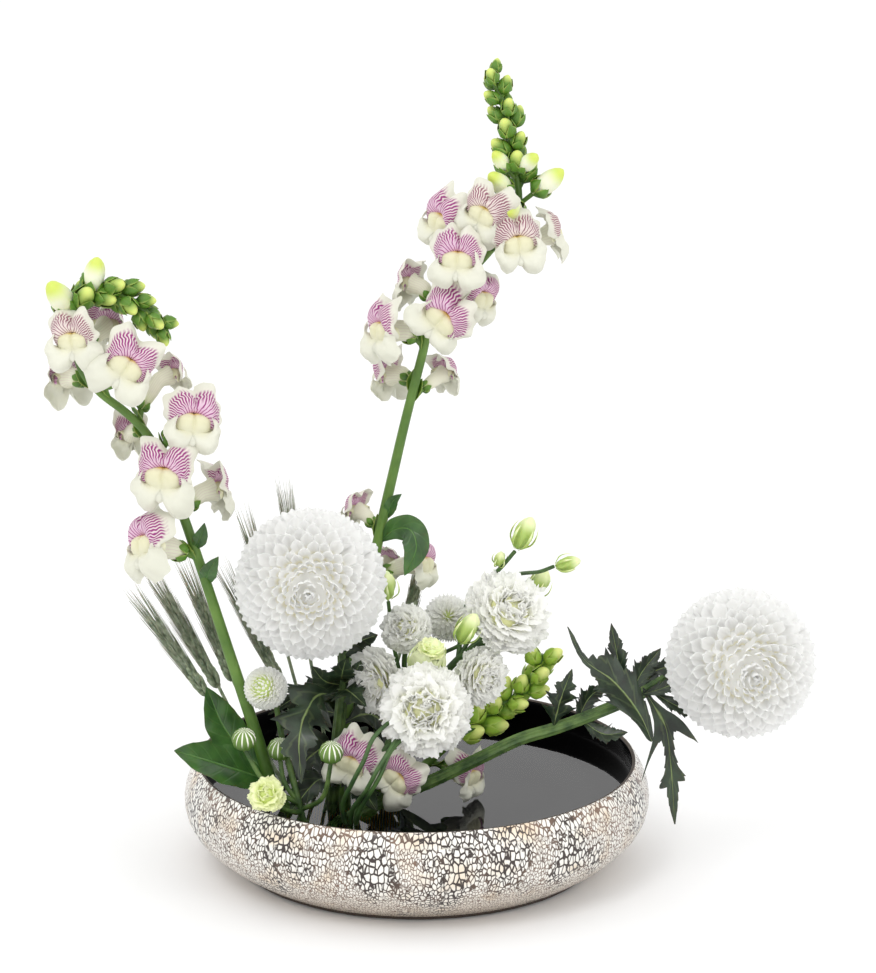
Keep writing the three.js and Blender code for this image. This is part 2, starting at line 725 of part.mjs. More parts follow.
place('right_pom', pom(RIGHT_POM), FINISH.pom);
place('left_pom', pom(LEFT_POM), FINISH.pom);
place('right_pom_stem', leafyStem({
  points: RIGHT_POM_PATH,
  radius: 4.2,
  tipRadius: 3.4,
  steps: 16,
  leaves: [
    {
      rib: [[158, -30, 126], [170, -40, 112], [172, -48, 80], [175, -50, 41]],
      width: 38,
      lobes: LOBED_LEAF,
      face: [0, -1, 0.1],
    },
    {
      rib: [[150, -32, 124], [135, -42, 140], [112, -58, 158], [103, -52, 178]],
      width: 34,
      lobes: LOBED_LEAF,
      face: [0, -1, 0.5],
    },
    {
      rib: [[136, -36, 121], [137, -36, 142], [131, -32, 178]],
      width: 20,
      lobes: LOBED_LEAF,
      face: [0, -1, 0.2],
    },
    {
      rib: [[144, -33, 123], [152, -20, 138], [166, -12, 154]],
      width: 20,
      lobes: LOBED_LEAF,
      face: [0, -1, 0.3],
    },
    {
      rib: [[92, -46, 106], [96, -52, 128], [104, -58, 154]],
      width: 22,
      lobes: LOBED_LEAF,
      face: [0, -1, 0.2],
    },
    {
      rib: [[112, -42, 112], [126, -52, 106], [142, -54, 108]],
      width: 18,
      lobes: LOBED_LEAF,
      face: [0, -0.7, 0.7],
    },
    {
      rib: [[160, -28, 128], [176, -34, 116], [193, -30, 104]],
      width: 16,
      lobes: LOBED_LEAF,
      face: [0, -0.7, 0.7],
    },
  ],
}), FINISH.mumStem);
place('left_pom_stem', leafyStem({
  points: LEFT_POM_PATH,
  radius: 4,
  tipRadius: 3.4,
  steps: 12,
  leaves: [
    {
      rib: [[-51, -33, 126], [-66, -54, 134], [-77, -86, 119], [-76, -100, 88]],
      width: 34,
      lobes: LOBED_LEAF,
      face: [0, -1, 0.4],
    },
    {
      rib: [[-51, -33, 130], [-72, -50, 136], [-99, -62, 123]],
      width: 24,
      lobes: LOBED_LEAF,
      face: [0, -0.7, 0.7],
    },
    {
      rib: [[-51, -33, 128], [-46, -56, 138], [-33, -74, 133]],
      width: 24,
      lobes: LOBED_LEAF,
      face: [0, -0.7, 0.7],
    },
    {
      rib: [[-50, -32, 138], [-50, -46, 146], [-47, -54, 155]],
      width: 22,
      lobes: LOBED_LEAF,
      face: [0, -1, 0.2],
    },
    {
      rib: [[-51, -30, 152], [-42, -32, 163], [-26, -36, 171]],
      width: 20,
      lobes: LOBED_LEAF,
      face: [0, -1, 0.4],
    },
  ],
}), FINISH.mumStem);

// Lisianthus blooms, front first, and the branches that carry them and their buds.
const LISIANTHUS = {
  front: { centre: [6, -86, 134], turn: -4, lift: 18, radius: 30, seed: 11 },
  right: { centre: [61, -30, 184], turn: 30, lift: 40, radius: 29, seed: 12 },
  upper_left: { centre: [-7, -30, 173], turn: -20, lift: 35, radius: 17, sides: 12, seed: 13 },
  lower_right: { centre: [43, -46, 145], turn: 40, lift: 5, radius: 20, sides: 12, seed: 14 },
  left: { centre: [-26, -46, 142], turn: -45, lift: 0, radius: 23, sides: 12, seed: 15 },
};
for (const [side, bloom] of Object.entries(LISIANTHUS)) {
  place(`lisianthus_${side}`, ruffledBloom(bloom), FINISH.lisianthus);
}

/** Branches of { points, radius, tipRadius, steps } that fork from one another, with their buds. */
function sprig(branches, buds = []) {
  const parts = branches.map(({ points, radius, tipRadius = radius * 0.8, steps = 4 }) =>
    stem(points, radius, tipRadius, steps, 4));
  buds.forEach(({ root, middle, width }) => parts.push(bud(vec(root), vec(middle), width)));
  return fuse(parts);
}

place('lisianthus_stem_front', sprig(
  [
    {
      points: [
        [-45, -76, STEM_FOOT], [-40, -78, 56], [-28, -82, 98], [-4, -66, 116],
        under(LISIANTHUS.front),
      ],
      radius: 2.2,
      steps: 7,
    },
    {
      points: [[-40, -78, 56], [-33, -72, 80], [-10, -54, 112], [4, -54, 150]],
      radius: 1.8,
    },
    {
      points: [[-40, -78, 56], [-33, -72, 80], [-14, -44, 112], under(LISIANTHUS.left)],
      radius: 1.8,
    },
  ],
  [{ root: [4, -54, 148], middle: [9, -62, 168], width: 24 }],
), FINISH.spray);
place('lisianthus_stem_rear', sprig(
  [
    {
      points: [
        [-31, -28, STEM_FOOT], [-12, -24, 88], [8, -18, 122], [28, -12, 146], [46, -16, 160],
        under(LISIANTHUS.right),
      ],
      radius: 3,
      steps: 8,
    },
    {
      points: [[-12, -24, 88], [-8, -12, 120], [-8, -14, 150], under(LISIANTHUS.upper_left)],
      radius: 2.2,
    },
    {
      points: [[8, -18, 122], [20, -26, 136], under(LISIANTHUS.lower_right)],
      radius: 2,
      steps: 3,
    },
    {
      points: [[28, -12, 146], [34, 2, 180], [58, -18, 214], [66, -25, 226]],
      radius: 1.8,
    },
    {
      points: [[28, -12, 146], [60, 6, 196], [84, -24, 212], [92, -30, 217]],
      radius: 1.6,
    },
    {
      points: [[28, -12, 146], [64, 4, 176], [80, -6, 190]],
      radius: 1.5,
    },
    {
      points: [[8, -18, 122], [12, -28, 150], [28, -48, 167]],
      radius: 1.6,
      steps: 3,
    },
  ],
  [
    { root: [65, -24, 223], middle: [72, -25, 238], width: 14 },
    { root: [90, -29, 216], middle: [101, -30, 219], width: 10 },
    { root: [78, -5, 188], middle: [83, -8, 198], width: 13 },
    { root: [27, -47, 166], middle: [34, -50, 179], width: 14 },
    { root: [54, -14, 210], middle: [56, -20, 219], width: 8 },
  ],
), FINISH.spray);

// The spray chrysanthemums.
const MUM = { sides: 14, jagged: 0.25 };
const BUTTON = { ...MUM, centre: [-100, -72, 145], turn: -28, lift: 25, radius: 14.5, seed: 21 };
const REAR_MUM = { ...MUM, centre: [21, 0, 172], turn: 12, lift: 35, radius: 17, seed: 22 };
const OPENING = { ...MUM, centre: [-98, -122, 88], turn: -10, lift: 35, radius: 13, seed: 23 };
place('button_mum', ruffledBloom(BUTTON), FINISH.pom);
place('rear_mum', ruffledBloom(REAR_MUM), FINISH.pom);
place('opening_mum', ruffledBloom(OPENING), FINISH.greenBud);
place('rear_mum_stem', sprig([
  { points: [[-32, -12, STEM_FOOT], [-20, -6, 90], [8, 14, 140], under(REAR_MUM)], radius: 2, steps: 7 },
]), FINISH.spray);
const STRIPED_BUDS = [[-114, -88, 115], [-91, -76, 104], [-56, -100, 110]];
place('spray_mum_stem', fuse([
  stem([[-70, -76, STEM_FOOT], [-78, -80, 66], [-90, -66, 110], under(BUTTON)], 2.4, 1.8, 8, 5),
  stem([[-78, -80, 66], [-100, -88, 84], [-114, -88, 106]], 1.7, 1.5, 4, 5),
  stem([[-78, -80, 66], [-88, -80, 82], [-91, -76, 96]], 1.7, 1.5, 3, 5),
  stem([[-77, -79, 62], [-62, -94, 76], [-56, -99, 101]], 1.8, 1.5, 4, 5),
  stem([[-77, -79, 60], [-86, -102, 70], under(OPENING)], 1.8, 1.6, 4, 5),
  ...STRIPED_BUDS.map((centre) => ribbedBud(centre, 8, [0, -0.3, 1])),
]), FINISH.spray);

TALL_FLORETS.forEach((each, k) => place(`tall_floret_${k + 1}`, floret(each), FINISH.floret));
LEFT_FLORETS.forEach((each, k) => place(`left_floret_${k + 1}`, floret(each), FINISH.floret));
LOW_FLORETS.forEach((each, k) => place(`low_floret_${k + 1}`, floret(each), FINISH.floret));

const BARLEY = [
  { straw: [[-82, -32, STEM_FOOT], [-112, -26, 70], [-142, -20, 122]], tip: [-197, -18, 204] },
  { straw: [[-76, -26, STEM_FOOT], [-108, -14, 70], [-135, -2, 122]], tip: [-186, 6, 212] },
  { straw: [[-70, -20, STEM_FOOT], [-100, -6, 70], [-126, 12, 122]], tip: [-164, 24, 214] },
  { straw: [[-66, -12, STEM_FOOT], [-78, 4, 70], [-92, 14, 116]], tip: [-138, 20, 212] },
  { straw: [[-60, -20, STEM_FOOT], [-74, 14, 80], [-92, 30, 146]], tip: [-122, 34, 246] },
  { straw: [[-52, -12, STEM_FOOT], [-66, 20, 90], [-80, 36, 168]], tip: [-92, 42, 262] },
  { straw: [[-42, -9, STEM_FOOT], [-26, 8, 90], [-10, 16, 148]], tip: [4, 12, 212] },
];
BARLEY.forEach((ear, k) => {
  place(`barley_${k + 1}`, barley({ ...ear, awns: 8, seed: 31 + k }), FINISH.barley);
});

/** Still water over the bowl's floor, with a plain hole for the pin holder and for each stem. */
function water() {
  const { gap, level } = WATER;
  const inside = BOWL_INSIDE.map(([r, z]) => [Math.max(0, r - gap), Math.min(z + gap, level)]);
  const body = turned([[0, level], ...inside]);
  const reach = KENZAN.base + KENZAN.pinLength + 1;
  const room = new THREE.CylinderGeometry(KENZAN.radius + gap, KENZAN.radius + gap, reach + 2, 24)
    .rotateX(Math.PI / 2)
    .translate(KENZAN.x, KENZAN.y, BOWL.floor + reach / 2);
  return body.subtract(solidFrom(room));
}
place('water', water(), FINISH.water);

export default arrangement;
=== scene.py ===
"""An ikebana arrangement: snapdragons, pompon chrysanthemums, lisianthus, spray chrysanthemums and
barley, held by a pin holder (kenzan) in a wide bowl of crackled glaze.

Sizes and places are in millimetres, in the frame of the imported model, and become metres where a
mesh is made.
"""

import math

import bmesh
import bpy
import numpy as np
from mathutils import Matrix, Vector


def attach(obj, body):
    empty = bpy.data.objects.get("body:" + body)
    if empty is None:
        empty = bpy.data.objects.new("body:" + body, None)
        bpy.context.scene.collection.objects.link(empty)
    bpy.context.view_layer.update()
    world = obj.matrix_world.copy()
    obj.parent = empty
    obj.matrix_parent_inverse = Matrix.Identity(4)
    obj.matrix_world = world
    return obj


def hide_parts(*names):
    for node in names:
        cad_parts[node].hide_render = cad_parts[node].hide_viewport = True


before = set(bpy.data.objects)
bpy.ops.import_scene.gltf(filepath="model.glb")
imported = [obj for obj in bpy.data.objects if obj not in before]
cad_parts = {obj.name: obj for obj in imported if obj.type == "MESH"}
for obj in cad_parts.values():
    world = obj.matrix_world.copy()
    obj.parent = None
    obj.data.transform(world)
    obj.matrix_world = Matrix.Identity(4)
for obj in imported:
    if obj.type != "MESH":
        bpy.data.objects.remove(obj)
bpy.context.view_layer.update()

MM = 0.001
TAU = 2 * math.pi
GOLDEN_ANGLE = math.pi * (3 - math.sqrt(5))
UP = np.array([0.0, 0.0, 1.0])

# ------------------------------------------------------------------ camera, light and stage

PICTURE = (876, 973)  # pixels
CAMERA_DISTANCE = 2500
CAMERA_ELEVATION = math.radians(15)
CAMERA_TARGET = (14.5, 0, 264.5)
PIXEL_AT_TARGET = 0.675  # millimetres of the object that a pixel shows
SENSOR = 36


def placed(name, data):
    """A new object of the scene."""
    made = bpy.data.objects.new(name, data)
    bpy.context.scene.collection.objects.link(made)
    return made


def camera():
    """The camera in front of the arrangement, a little above it."""
    data = bpy.data.cameras.new("camera")
    data.sensor_fit = "VERTICAL"
    data.sensor_height = SENSOR
    data.lens = CAMERA_DISTANCE / PIXEL_AT_TARGET * SENSOR / PICTURE[1]
    data.clip_end = 100
    seen = placed("camera", data)
    away = Vector((0, -math.cos(CAMERA_ELEVATION), math.sin(CAMERA_ELEVATION)))
    seen.location = (Vector(CAMERA_TARGET) + CAMERA_DISTANCE * away) * MM
    seen.rotation_euler = away.to_track_quat("Z", "Y").to_euler()
    bpy.context.scene.camera = seen


def lamp(name, place, size, power):
    """A square soft light that shines at the middle of the arrangement."""
    data = bpy.data.lights.new(name, "AREA")
    data.size = size
    data.energy = power
    light = placed(name, data)
    light.location = place
    aim = Vector(place) - Vector(CAMERA_TARGET) * MM
    light.rotation_euler = aim.to_track_quat("Z", "Y").to_euler()


def linear(code):
    """An sRGB hex colour as linear values."""
    channels = [int(code[k:k + 2], 16) / 255 for k in (0, 2, 4)]
    return tuple(c / 12.92 if c <= 0.04045 else ((c + 0.055) / 1.055) ** 2.4 for c in channels) + (1.0,)


# ------------------------------------------------------------------ nodes and materials

MATH, VECTOR_MATH, MAP_RANGE = "ShaderNodeMath", "ShaderNodeVectorMath", "ShaderNodeMapRange"
MIX, NOISE, BUMP, MAPPING = "ShaderNodeMix", "ShaderNodeTexNoise", "ShaderNodeBump", "ShaderNodeMapping"
SMOOTH = {"interpolation_type": "SMOOTHSTEP"}


def join(tree, value, socket):
    """Gives a socket a value, or links it to another socket or to the socket a node has in use."""
    if isinstance(value, bpy.types.Node):
        value = next(result for result in value.outputs if result.enabled)
    if isinstance(value, bpy.types.NodeSocket):
        tree.links.new(value, socket)
    else:
        socket.default_value = value


def add(tree, kind, inputs=(), **settings):
    """A node of `kind` with its settings. `inputs` gives values, sockets or nodes for its own sockets:
    by name or by number, or as a list for the first of them."""
    node = tree.nodes.new(kind)
    for name, value in settings.items():
        setattr(node, name, value)
    named = inputs.items() if isinstance(inputs, dict) else enumerate(inputs)
    for key, value in named:
        join(tree, value, node.inputs[key])
    return node


def surface(name, colour, **values):
    """A new material with its shader and node tree. `values` are the shader's own inputs."""
    material = bpy.data.materials.new(name)
    material.use_nodes = True
    tree = material.node_tree
    shader = tree.nodes["Principled BSDF"]
    shader.inputs["Base Color"].default_value = linear(colour)
    for key, value in values.items():
        shader.inputs[key.replace("_", " ")].default_value = value
    return material, tree, shader


def paint(tree, shader, colour=None, relief=None):
    """Joins a colour and a relief to a shader."""
    for name, node in (("Base Color", colour), ("Normal", relief)):
        if node:
            join(tree, node, shader.inputs[name])


def uv_shares(tree):
    """The shares across and along a petal, leaf or bud, from its UV map."""
    split = add(tree, "ShaderNodeSeparateXYZ", [add(tree, "ShaderNodeUVMap", uv_map="UVMap")])
    return split.outputs[0], split.outputs[1]


def object_place(tree):
    """The place of a point on its object, in metres."""
    return add(tree, "ShaderNodeTexCoord").outputs["Object"]


def from_middle(tree, wide):
    """How far a share across lies from the middle line, 0 to 0.5."""
    side = add(tree, MATH, [wide, 0.5], operation="SUBTRACT")
    return add(tree, MATH, [side], operation="ABSOLUTE")


def waves(tree, share, count):
    """`count` sine waves over a share."""
    angle = add(tree, MATH, [share, count * TAU], operation="MULTIPLY")
    return add(tree, MATH, [angle], operation="SINE")


def petal(name, base, tip, flesh=0.25, start=0.0, end=1.0, texture=0.15):
    """A thin matt petal that takes its colour from its base to its tip and lets some light through."""
    material, tree, shader = surface(
        name, tip, Roughness=0.55, Specular_IOR_Level=0.35, Subsurface_Weight=flesh, Subsurface_Scale=0.004,
        Subsurface_Radius=(1.0, 1.0, 0.95))
    wide, along = uv_shares(tree)
    share = add(tree, MAP_RANGE, [along, start, end], **SMOOTH)
    colour = add(tree, MIX, {0: share, 6: linear(base), 7: linear(tip)}, data_type="RGBA")
    # petals are lined lengthways by fine raised veins, about 0.8 mm apart
    stretched = add(tree, MAPPING, {0: add(tree, "ShaderNodeUVMap", uv_map="UVMap"), "Scale": (28, 2.5, 1)})
    lines = add(tree, NOISE, {"Vector": stretched, "Scale": 1.0})
    grain = add(tree, NOISE, {"Vector": object_place(tree), "Scale": 260.0, "Detail": 3.0})
    height = add(tree, MATH, [lines, grain], operation="ADD")
    paint(tree, shader, colour, add(tree, BUMP, {"Strength": texture, "Distance": MM, "Height": height}))
    return material, tree, shader, wide, along, colour


def hood_petal(name, vein, tint_and_shade_colour):
    """Snapdragon upper lip: white petal with branching veins that leave its folded margin white."""
    material, tree, shader, wide, along, white = petal(name, "E6D2D8", "DAD9C9")
    uv = add(tree, "ShaderNodeUVMap", uv_map="UVMap")
    # the veins fan out about 2.5 mm apart, and from a third of the way on new ones stand between them
    sway = add(tree, NOISE, {"Vector": uv, "Scale": 4.5, "Detail": 1.6, "Roughness": 0.6})
    swayed = add(tree, MATH, [sway, 0.09, wide], operation="MULTIPLY_ADD")
    sets = []
    for shift, first in ((0.0, -0.2), (0.5, 0.36)):
        count = add(tree, MATH, [swayed, 19.0, shift], operation="MULTIPLY_ADD")
        wave = add(tree, MATH, [waves(tree, count, 0.5)], operation="ABSOLUTE")
        drawn = add(tree, MAP_RANGE, [wave, 0.28, 0.56, 1.0, 0.0])
        begun = add(tree, MAP_RANGE, [along, first, first + 0.12])
        sets.append(add(tree, MATH, [drawn, begun], operation="MULTIPLY"))
    line = add(tree, MATH, [sets[0], sets[1]], operation="MAXIMUM")
    fade = add(tree, MATH, [sway, -0.35, along], operation="MULTIPLY_ADD")
    margin = add(tree, MAP_RANGE, [fade, 0.52, 0.68, 1.0, 0.0], **SMOOTH)
    veins = add(tree, MATH, [line, margin], operation="MULTIPLY")
    # a pink flush, partly the petal's own colour and partly painted shade: strongest at the mouth end of the
    # hood and fading towards the white margin
    mouth_tint_and_shade = add(tree, MAP_RANGE, [along, 0.15, 0.55, 0.62, 0.14])
    pink = add(tree, MATH, [mouth_tint_and_shade, margin], operation="MULTIPLY")
    tinted_and_shaded = add(tree, MIX, {0: pink, 6: white, 7: linear(tint_and_shade_colour)}, data_type="RGBA")
    paint(tree, shader, add(tree, MIX, {0: veins, 6: tinted_and_shaded, 7: linear(vein)}, data_type="RGBA"))
    return material


def palate_petal():
    """Snapdragon lower lip: creamy humps with a yellow line at the mouth, over paler lobes."""
    material, tree, shader, wide, along, cream = petal(
        "snapdragon_lower_lip", "DFDCB6", "D9D9C8", start=0.25, end=0.65)
    near = add(tree, MAP_RANGE, [from_middle(tree, wide), 0.05, 0.22, 0.75, 0.0], **SMOOTH)
    inside = add(tree, MAP_RANGE, [along, 0.16, 0.23, 1.0, 0.0], **SMOOTH)
    spot = add(tree, MATH, [near, inside], operation="MULTIPLY")
    paint(tree, shader, add(tree, MIX, {0: spot, 6: cream, 7: linear("EBC93A")}, data_type="RGBA"))
    return material


def tube_petal():
    """Snapdragon tube: cream, green at its foot, with faint pink lines along it."""
    material, tree, shader, wide, _, cream = petal("snapdragon_tube", "CBD69C", "DEDDC8", end=0.45)
    line = add(tree, MAP_RANGE, [waves(tree, wide, 22), 0.72, 1.0, 0.0, 0.25])
    paint(tree, shader, add(tree, MIX, {0: line, 6: cream, 7: linear("B66A9C")}, data_type="RGBA"))
    return material


def mottled(name, dark, light, size, roughness=0.5, **values):
    """Plant tissue whose colour drifts between two greens over patches of `size` millimetres."""
    material, tree, shader = surface(name, dark, Roughness=roughness, Subsurface_Weight=0.1,
                                     Subsurface_Scale=0.002, **values)
    place = object_place(tree)
    patches = add(tree, NOISE, {"Vector": place, "Scale": 1 / (size * MM), "Detail": 4.0})
    share = add(tree, MAP_RANGE, [patches, 0.35, 0.65])
    colour = add(tree, MIX, {0: share, 6: linear(dark), 7: linear(light)}, data_type="RGBA")
    grain = add(tree, NOISE, {"Vector": place, "Scale": 900.0, "Detail": 2.0})
    paint(tree, shader, colour, add(tree, BUMP, {"Strength": 0.25, "Distance": 0.0006, "Height": grain}))
    return material, tree, shader, colour


def bud_skin(name, foot, body, tip, turn=0.62):
    """A closed bud: dark at its foot, fresh green over its body and pale where the petals show."""
    material, tree, shader, green = mottled(name, foot, body, 9)
    wide, along = uv_shares(tree)
    low = add(tree, MAP_RANGE, [along, 0.1, 0.5], **SMOOTH)
    high = add(tree, MAP_RANGE, [along, turn, turn + 0.3], **SMOOTH)
    # the thin margins of the sepals are paler
    rim = add(tree, MAP_RANGE, [from_middle(tree, wide), 0.36, 0.5, 0.0, 0.35])
    colour = green
    for share, next_colour in ((low, body), (high, tip), (rim, tip)):
        colour = add(tree, MIX, {0: share, 6: colour, 7: linear(next_colour)}, data_type="RGBA")
    paint(tree, shader, colour)
    return material


def striped_bud_skin():
    """A chrysanthemum bud: white petals that show in stripes between dark green scales."""
    white = "F2F4E4"
    material, tree, shader = surface("striped_chrysanthemum_bud", white, Roughness=0.5)
    wide, along = uv_shares(tree)
    # the scales cover the foot and run up between the petals to the middle of the top
    edge = add(tree, MAP_RANGE, [along, 0.25, 0.9, 1.5, 0.35])
    height = add(tree, MATH, [waves(tree, wide, 12), edge], operation="ADD")
    scale = add(tree, MAP_RANGE, [height, 0.15, 0.45], **SMOOTH)
    green = add(tree, MIX, {0: along, 6: linear("35571F"), 7: linear("7C9C45")}, data_type="RGBA")
    colour = add(tree, MIX, {0: scale, 6: linear(white), 7: green}, data_type="RGBA")
    relief = add(tree, BUMP, {"Strength": 0.7, "Distance": 0.0008, "Height": scale}, invert=True)
    paint(tree, shader, colour, relief)
    return material


def leaf_skin(name, dark, light, rib, veins, roughness):
    """A leaf blade with a pale midrib and side veins that run forward from it."""
    material, tree, shader, green = mottled(name, dark, light, 14, roughness, Specular_IOR_Level=0.5)
    wide, along = uv_shares(tree)
    side = from_middle(tree, wide)
    midrib = add(tree, MAP_RANGE, [side, 0.01, 0.035, 0.9, 0.0])
    ahead = add(tree, MATH, [side, -0.35, along], operation="MULTIPLY_ADD")
    vein = add(tree, MAP_RANGE, [waves(tree, ahead, veins), 0.8, 1.0, 0.0, 0.14])
    line = add(tree, MATH, [midrib, vein], operation="MAXIMUM")
    colour = add(tree, MIX, {0: line, 6: green, 7: linear(rib)}, data_type="RGBA")
    relief = add(tree, BUMP, {"Strength": 0.6, "Distance": 0.0008, "Height": line}, invert=True)
    paint(tree, shader, colour, relief)
    return material


def crackle_glaze():
    """White glaze that drew up into tiles as it was fired and shows the dark clay between them."""
    material, tree, shader = surface("crackle_glaze_on_dark_stoneware", "F4F1EA", Roughness=0.35,
                                     Coat_Weight=0.35, Coat_Roughness=0.1)
    place = object_place(tree)
    high = add(tree, "ShaderNodeSeparateXYZ", [place]).outputs[2]
    # the cracks wander by up to 1.7 mm
    sway = add(tree, NOISE, {"Vector": place, "Scale": 170.0, "Detail": 2.0}).outputs["Color"]
    shift = add(tree, VECTOR_MATH, [sway, (0.0017, 0.0017, 0.0017)], operation="MULTIPLY")
    swayed = add(tree, VECTOR_MATH, [place, shift], operation="ADD")
    uneven = add(tree, NOISE, {"Vector": place, "Scale": 260.0, "Detail": 2.0})
    # each set of tiles: how flat its pattern is pressed upwards, a tile's width in millimetres, and
    # the shares of it where a crack ends and where the full glaze starts
    edges = []
    for upright, tile, thin, thick in ((0.56, 3.3, 0.08, 0.14), (0.56, 2.5, 0.07, 0.14),
                                       (0.56, 1.9, 0.035, 0.14), (0.3, 3.0, 0.065, 0.12)):
        drawn_out = add(tree, MAPPING, {0: swayed, "Scale": (1, 1, upright)})
        cells = add(tree, "ShaderNodeTexVoronoi", {"Vector": drawn_out, "Scale": 1 / (tile * MM),
                                                   "Randomness": 0.8}, feature="DISTANCE_TO_EDGE")
        away = add(tree, MATH, [uneven, -0.08, cells], operation="MULTIPLY_ADD")
        away = add(tree, MATH, [away, 0.04], operation="ADD")
        edges.append(add(tree, MAP_RANGE, [away, thin, thick]))
    # coarse and fine tiles lie in patches, and fine ones near the foot
    level = add(tree, MAPPING, {0: place, "Scale": (1, 1, 0.6)})
    patches = add(tree, NOISE, {"Vector": level, "Scale": 26.0, "Detail": 3.5, "Roughness": 0.62})
    low = add(tree, MAP_RANGE, [high, 0.01, 0.045, 0.14, 0.0])
    spread = add(tree, MATH, [patches, low], operation="SUBTRACT")
    coarse = add(tree, MAP_RANGE, [spread, 0.53, 0.55])
    finest = add(tree, MAP_RANGE, [spread, 0.44, 0.47, 1.0, 0.0])
    lip = add(tree, MAP_RANGE, [high, 0.062, 0.0635])  # long tiles stand round the lip
    glaze = edges[1]
    for share, other in ((coarse, edges[0]), (finest, edges[2]), (lip, edges[3])):
        glaze = add(tree, MIX, {0: share, 2: glaze, 3: other})
    stain = add(tree, NOISE, {"Vector": place, "Scale": 48.0, "Detail": 3.0})
    warm = add(tree, MAP_RANGE, [stain, 0.5, 0.78])
    foot = add(tree, MAP_RANGE, [high, 0.006, 0.034, 0.5, 0.0])
    tint = add(tree, MATH, [warm, foot], operation="MAXIMUM")
    white = add(tree, MIX, {0: tint, 6: linear("F2EFE8"), 7: linear("E2CBAC")}, data_type="RGBA")
    # the finer the tiles, the more the clay shows as a warm brown instead of black
    clay = add(tree, MAP_RANGE, [spread, 0.4, 0.53])
    crack = add(tree, MIX, {0: clay, 6: linear("7C6250"), 7: linear("30241F")}, data_type="RGBA")
    colour = add(tree, MIX, {0: glaze, 6: crack, 7: white}, data_type="RGBA")
    paint(tree, shader, colour, add(tree, BUMP, {"Strength": 0.8, "Distance": 0.0006, "Height": glaze}))
    return material


def plain(name, colour, roughness, grain, depth, **values):
    """A ceramic or metal surface with a relief of specks `grain` millimetres across."""
    material, tree, shader = surface(name, colour, Roughness=roughness, **values)
    noise = add(tree, NOISE, {"Vector": object_place(tree), "Scale": 1 / (grain * MM), "Detail": 3.0})
    relief = add(tree, BUMP, {"Strength": depth, "Distance": 0.0005, "Height": noise})
    paint(tree, shader, relief=relief)
    return material


CRACKLE = crackle_glaze()  # white tiles of glaze with brown-black cracks
# deep black that hardly shines back
BLACK_GLAZE = plain("black_tenmoku_glaze", "020202", 0.12, 30, 0.02, Specular_IOR_Level=0.05)
BARE_CLAY = plain("unglazed_dark_stoneware", "4A4038", 0.8, 0.8, 0.8)  # dark, coarse and matt
# clear, with a sharp shine
WATER = surface("still_water", "F4F8FA", Roughness=0.0, IOR=1.333, Transmission_Weight=1.0)[0]
LEAD = plain("cast_lead", "3C3E40", 0.5, 1.5, 0.5, Metallic=0.9)  # dull grey metal
BRASS = plain("drawn_brass_pins", "C9A75A", 0.3, 2, 0.1, Metallic=1.0)  # yellow points of light
HOOD = hood_petal("snapdragon_hood", "8E2473", "CC7FC0")  # white with purple veins
# a fading flower's brownish veins on cream
PALE_HOOD = hood_petal("faded_snapdragon_hood", "8A5266", "E2D2C0")
PALATE = palate_petal()
TUBE = tube_petal()
# white, cream at its foot: partly the petals' own cream, partly painted shade in the depth of the bloom
POM_PETAL = petal("pompon_petal", "F4EECC", "F9F9F7", flesh=0.5, end=0.4, texture=0.08)[0]
# white over a greenish yellow foot
LISIANTHUS_PETAL = petal("lisianthus_petal", "F0F2B4", "FEFEF8", flesh=0.6, start=0.3, end=0.9)[0]
# white quills from a lime foot
QUILL_PETAL = petal("spray_chrysanthemum_petal", "E4EC9C", "FEFEF8", flesh=0.8, end=0.4)[0]
GREEN_PETAL = petal("opening_chrysanthemum_petal", "B2CA4E", "ECF2B4", flesh=0.4)[0]  # fresh lime green
BUTTON_HEART = petal("spray_chrysanthemum_heart", "B4C86A", "C6D68A")[0]  # a matt yellow-green middle
SNAP_STEM = mottled("snapdragon_stem", "42651C", "628434", 30)[0]  # smooth mid green
SNAP_LEAF = leaf_skin("snapdragon_leaf", "294B1E", "416A2D", "56803B", 7, 0.28)
SNAP_BUD = bud_skin("snapdragon_bud", "2F5216", "55801F", "CFDD74", turn=0.62)  # green buds with pale tips
YOUNG_BUD = bud_skin("young_snapdragon_bud", "5F8A28", "98BC3E", "E2EC8A", turn=0.55)  # small lime buds
# buds about to open, already cream
BIG_BUD = bud_skin("snapdragon_bud_in_colour", "D3DCA4", "E9ECD2", "CBDA62", turn=0.5)
MUM_STEM = mottled("chrysanthemum_stem", "2E4A1B", "5F7B3B", 9)[0]  # woody dark green
# nearly black green with pale veins
MUM_LEAF = leaf_skin("chrysanthemum_leaf", "111C10", "2E3E2B", "84965E", 5, 0.3)
CUP_PETAL = petal("opening_lisianthus_petal", "A9C266", "E2EAB4", flesh=0.4, start=0.1)[0]
STRIPED_BUD = striped_bud_skin()
SPRAY_STEM = mottled("lisianthus_stem", "29431F", "4C6E36", 16)[0]
SPRAY_BUD = bud_skin("lisianthus_bud", "7E9E44", "A9C264", "E3ECB4", turn=0.5)  # pale green, twisted
EAR = mottled("barley_ear", "66755A", "A3AE90", 4, 0.7)[0]  # dusty grey-green
AWN = mottled("barley_awn", "5A6650", "A3AC96", 5, 0.7)[0]  # the same with more grey

# ------------------------------------------------------------------ paths and meshes


def unit(vector):
    return vector / np.linalg.norm(vector)


def across(direction, hint=UP):
    """Side and up across a direction, with side x up = direction and up near to `hint`."""
    up = hint - direction * np.dot(hint, direction)
    if np.linalg.norm(up) < 1e-3:
        up = np.array([direction[1], -direction[0], 0.01])
        up = up - direction * np.dot(up, direction)
    up = unit(up)
    return np.cross(up, direction), up


def facing(turn, lift):
    """The direction of a flower that looks `turn` degrees right of the viewer and `lift` degrees up."""
    turn, lift = math.radians(turn), math.radians(lift)
    return np.array([math.sin(turn) * math.cos(lift), -math.cos(turn) * math.cos(lift), math.sin(lift)])


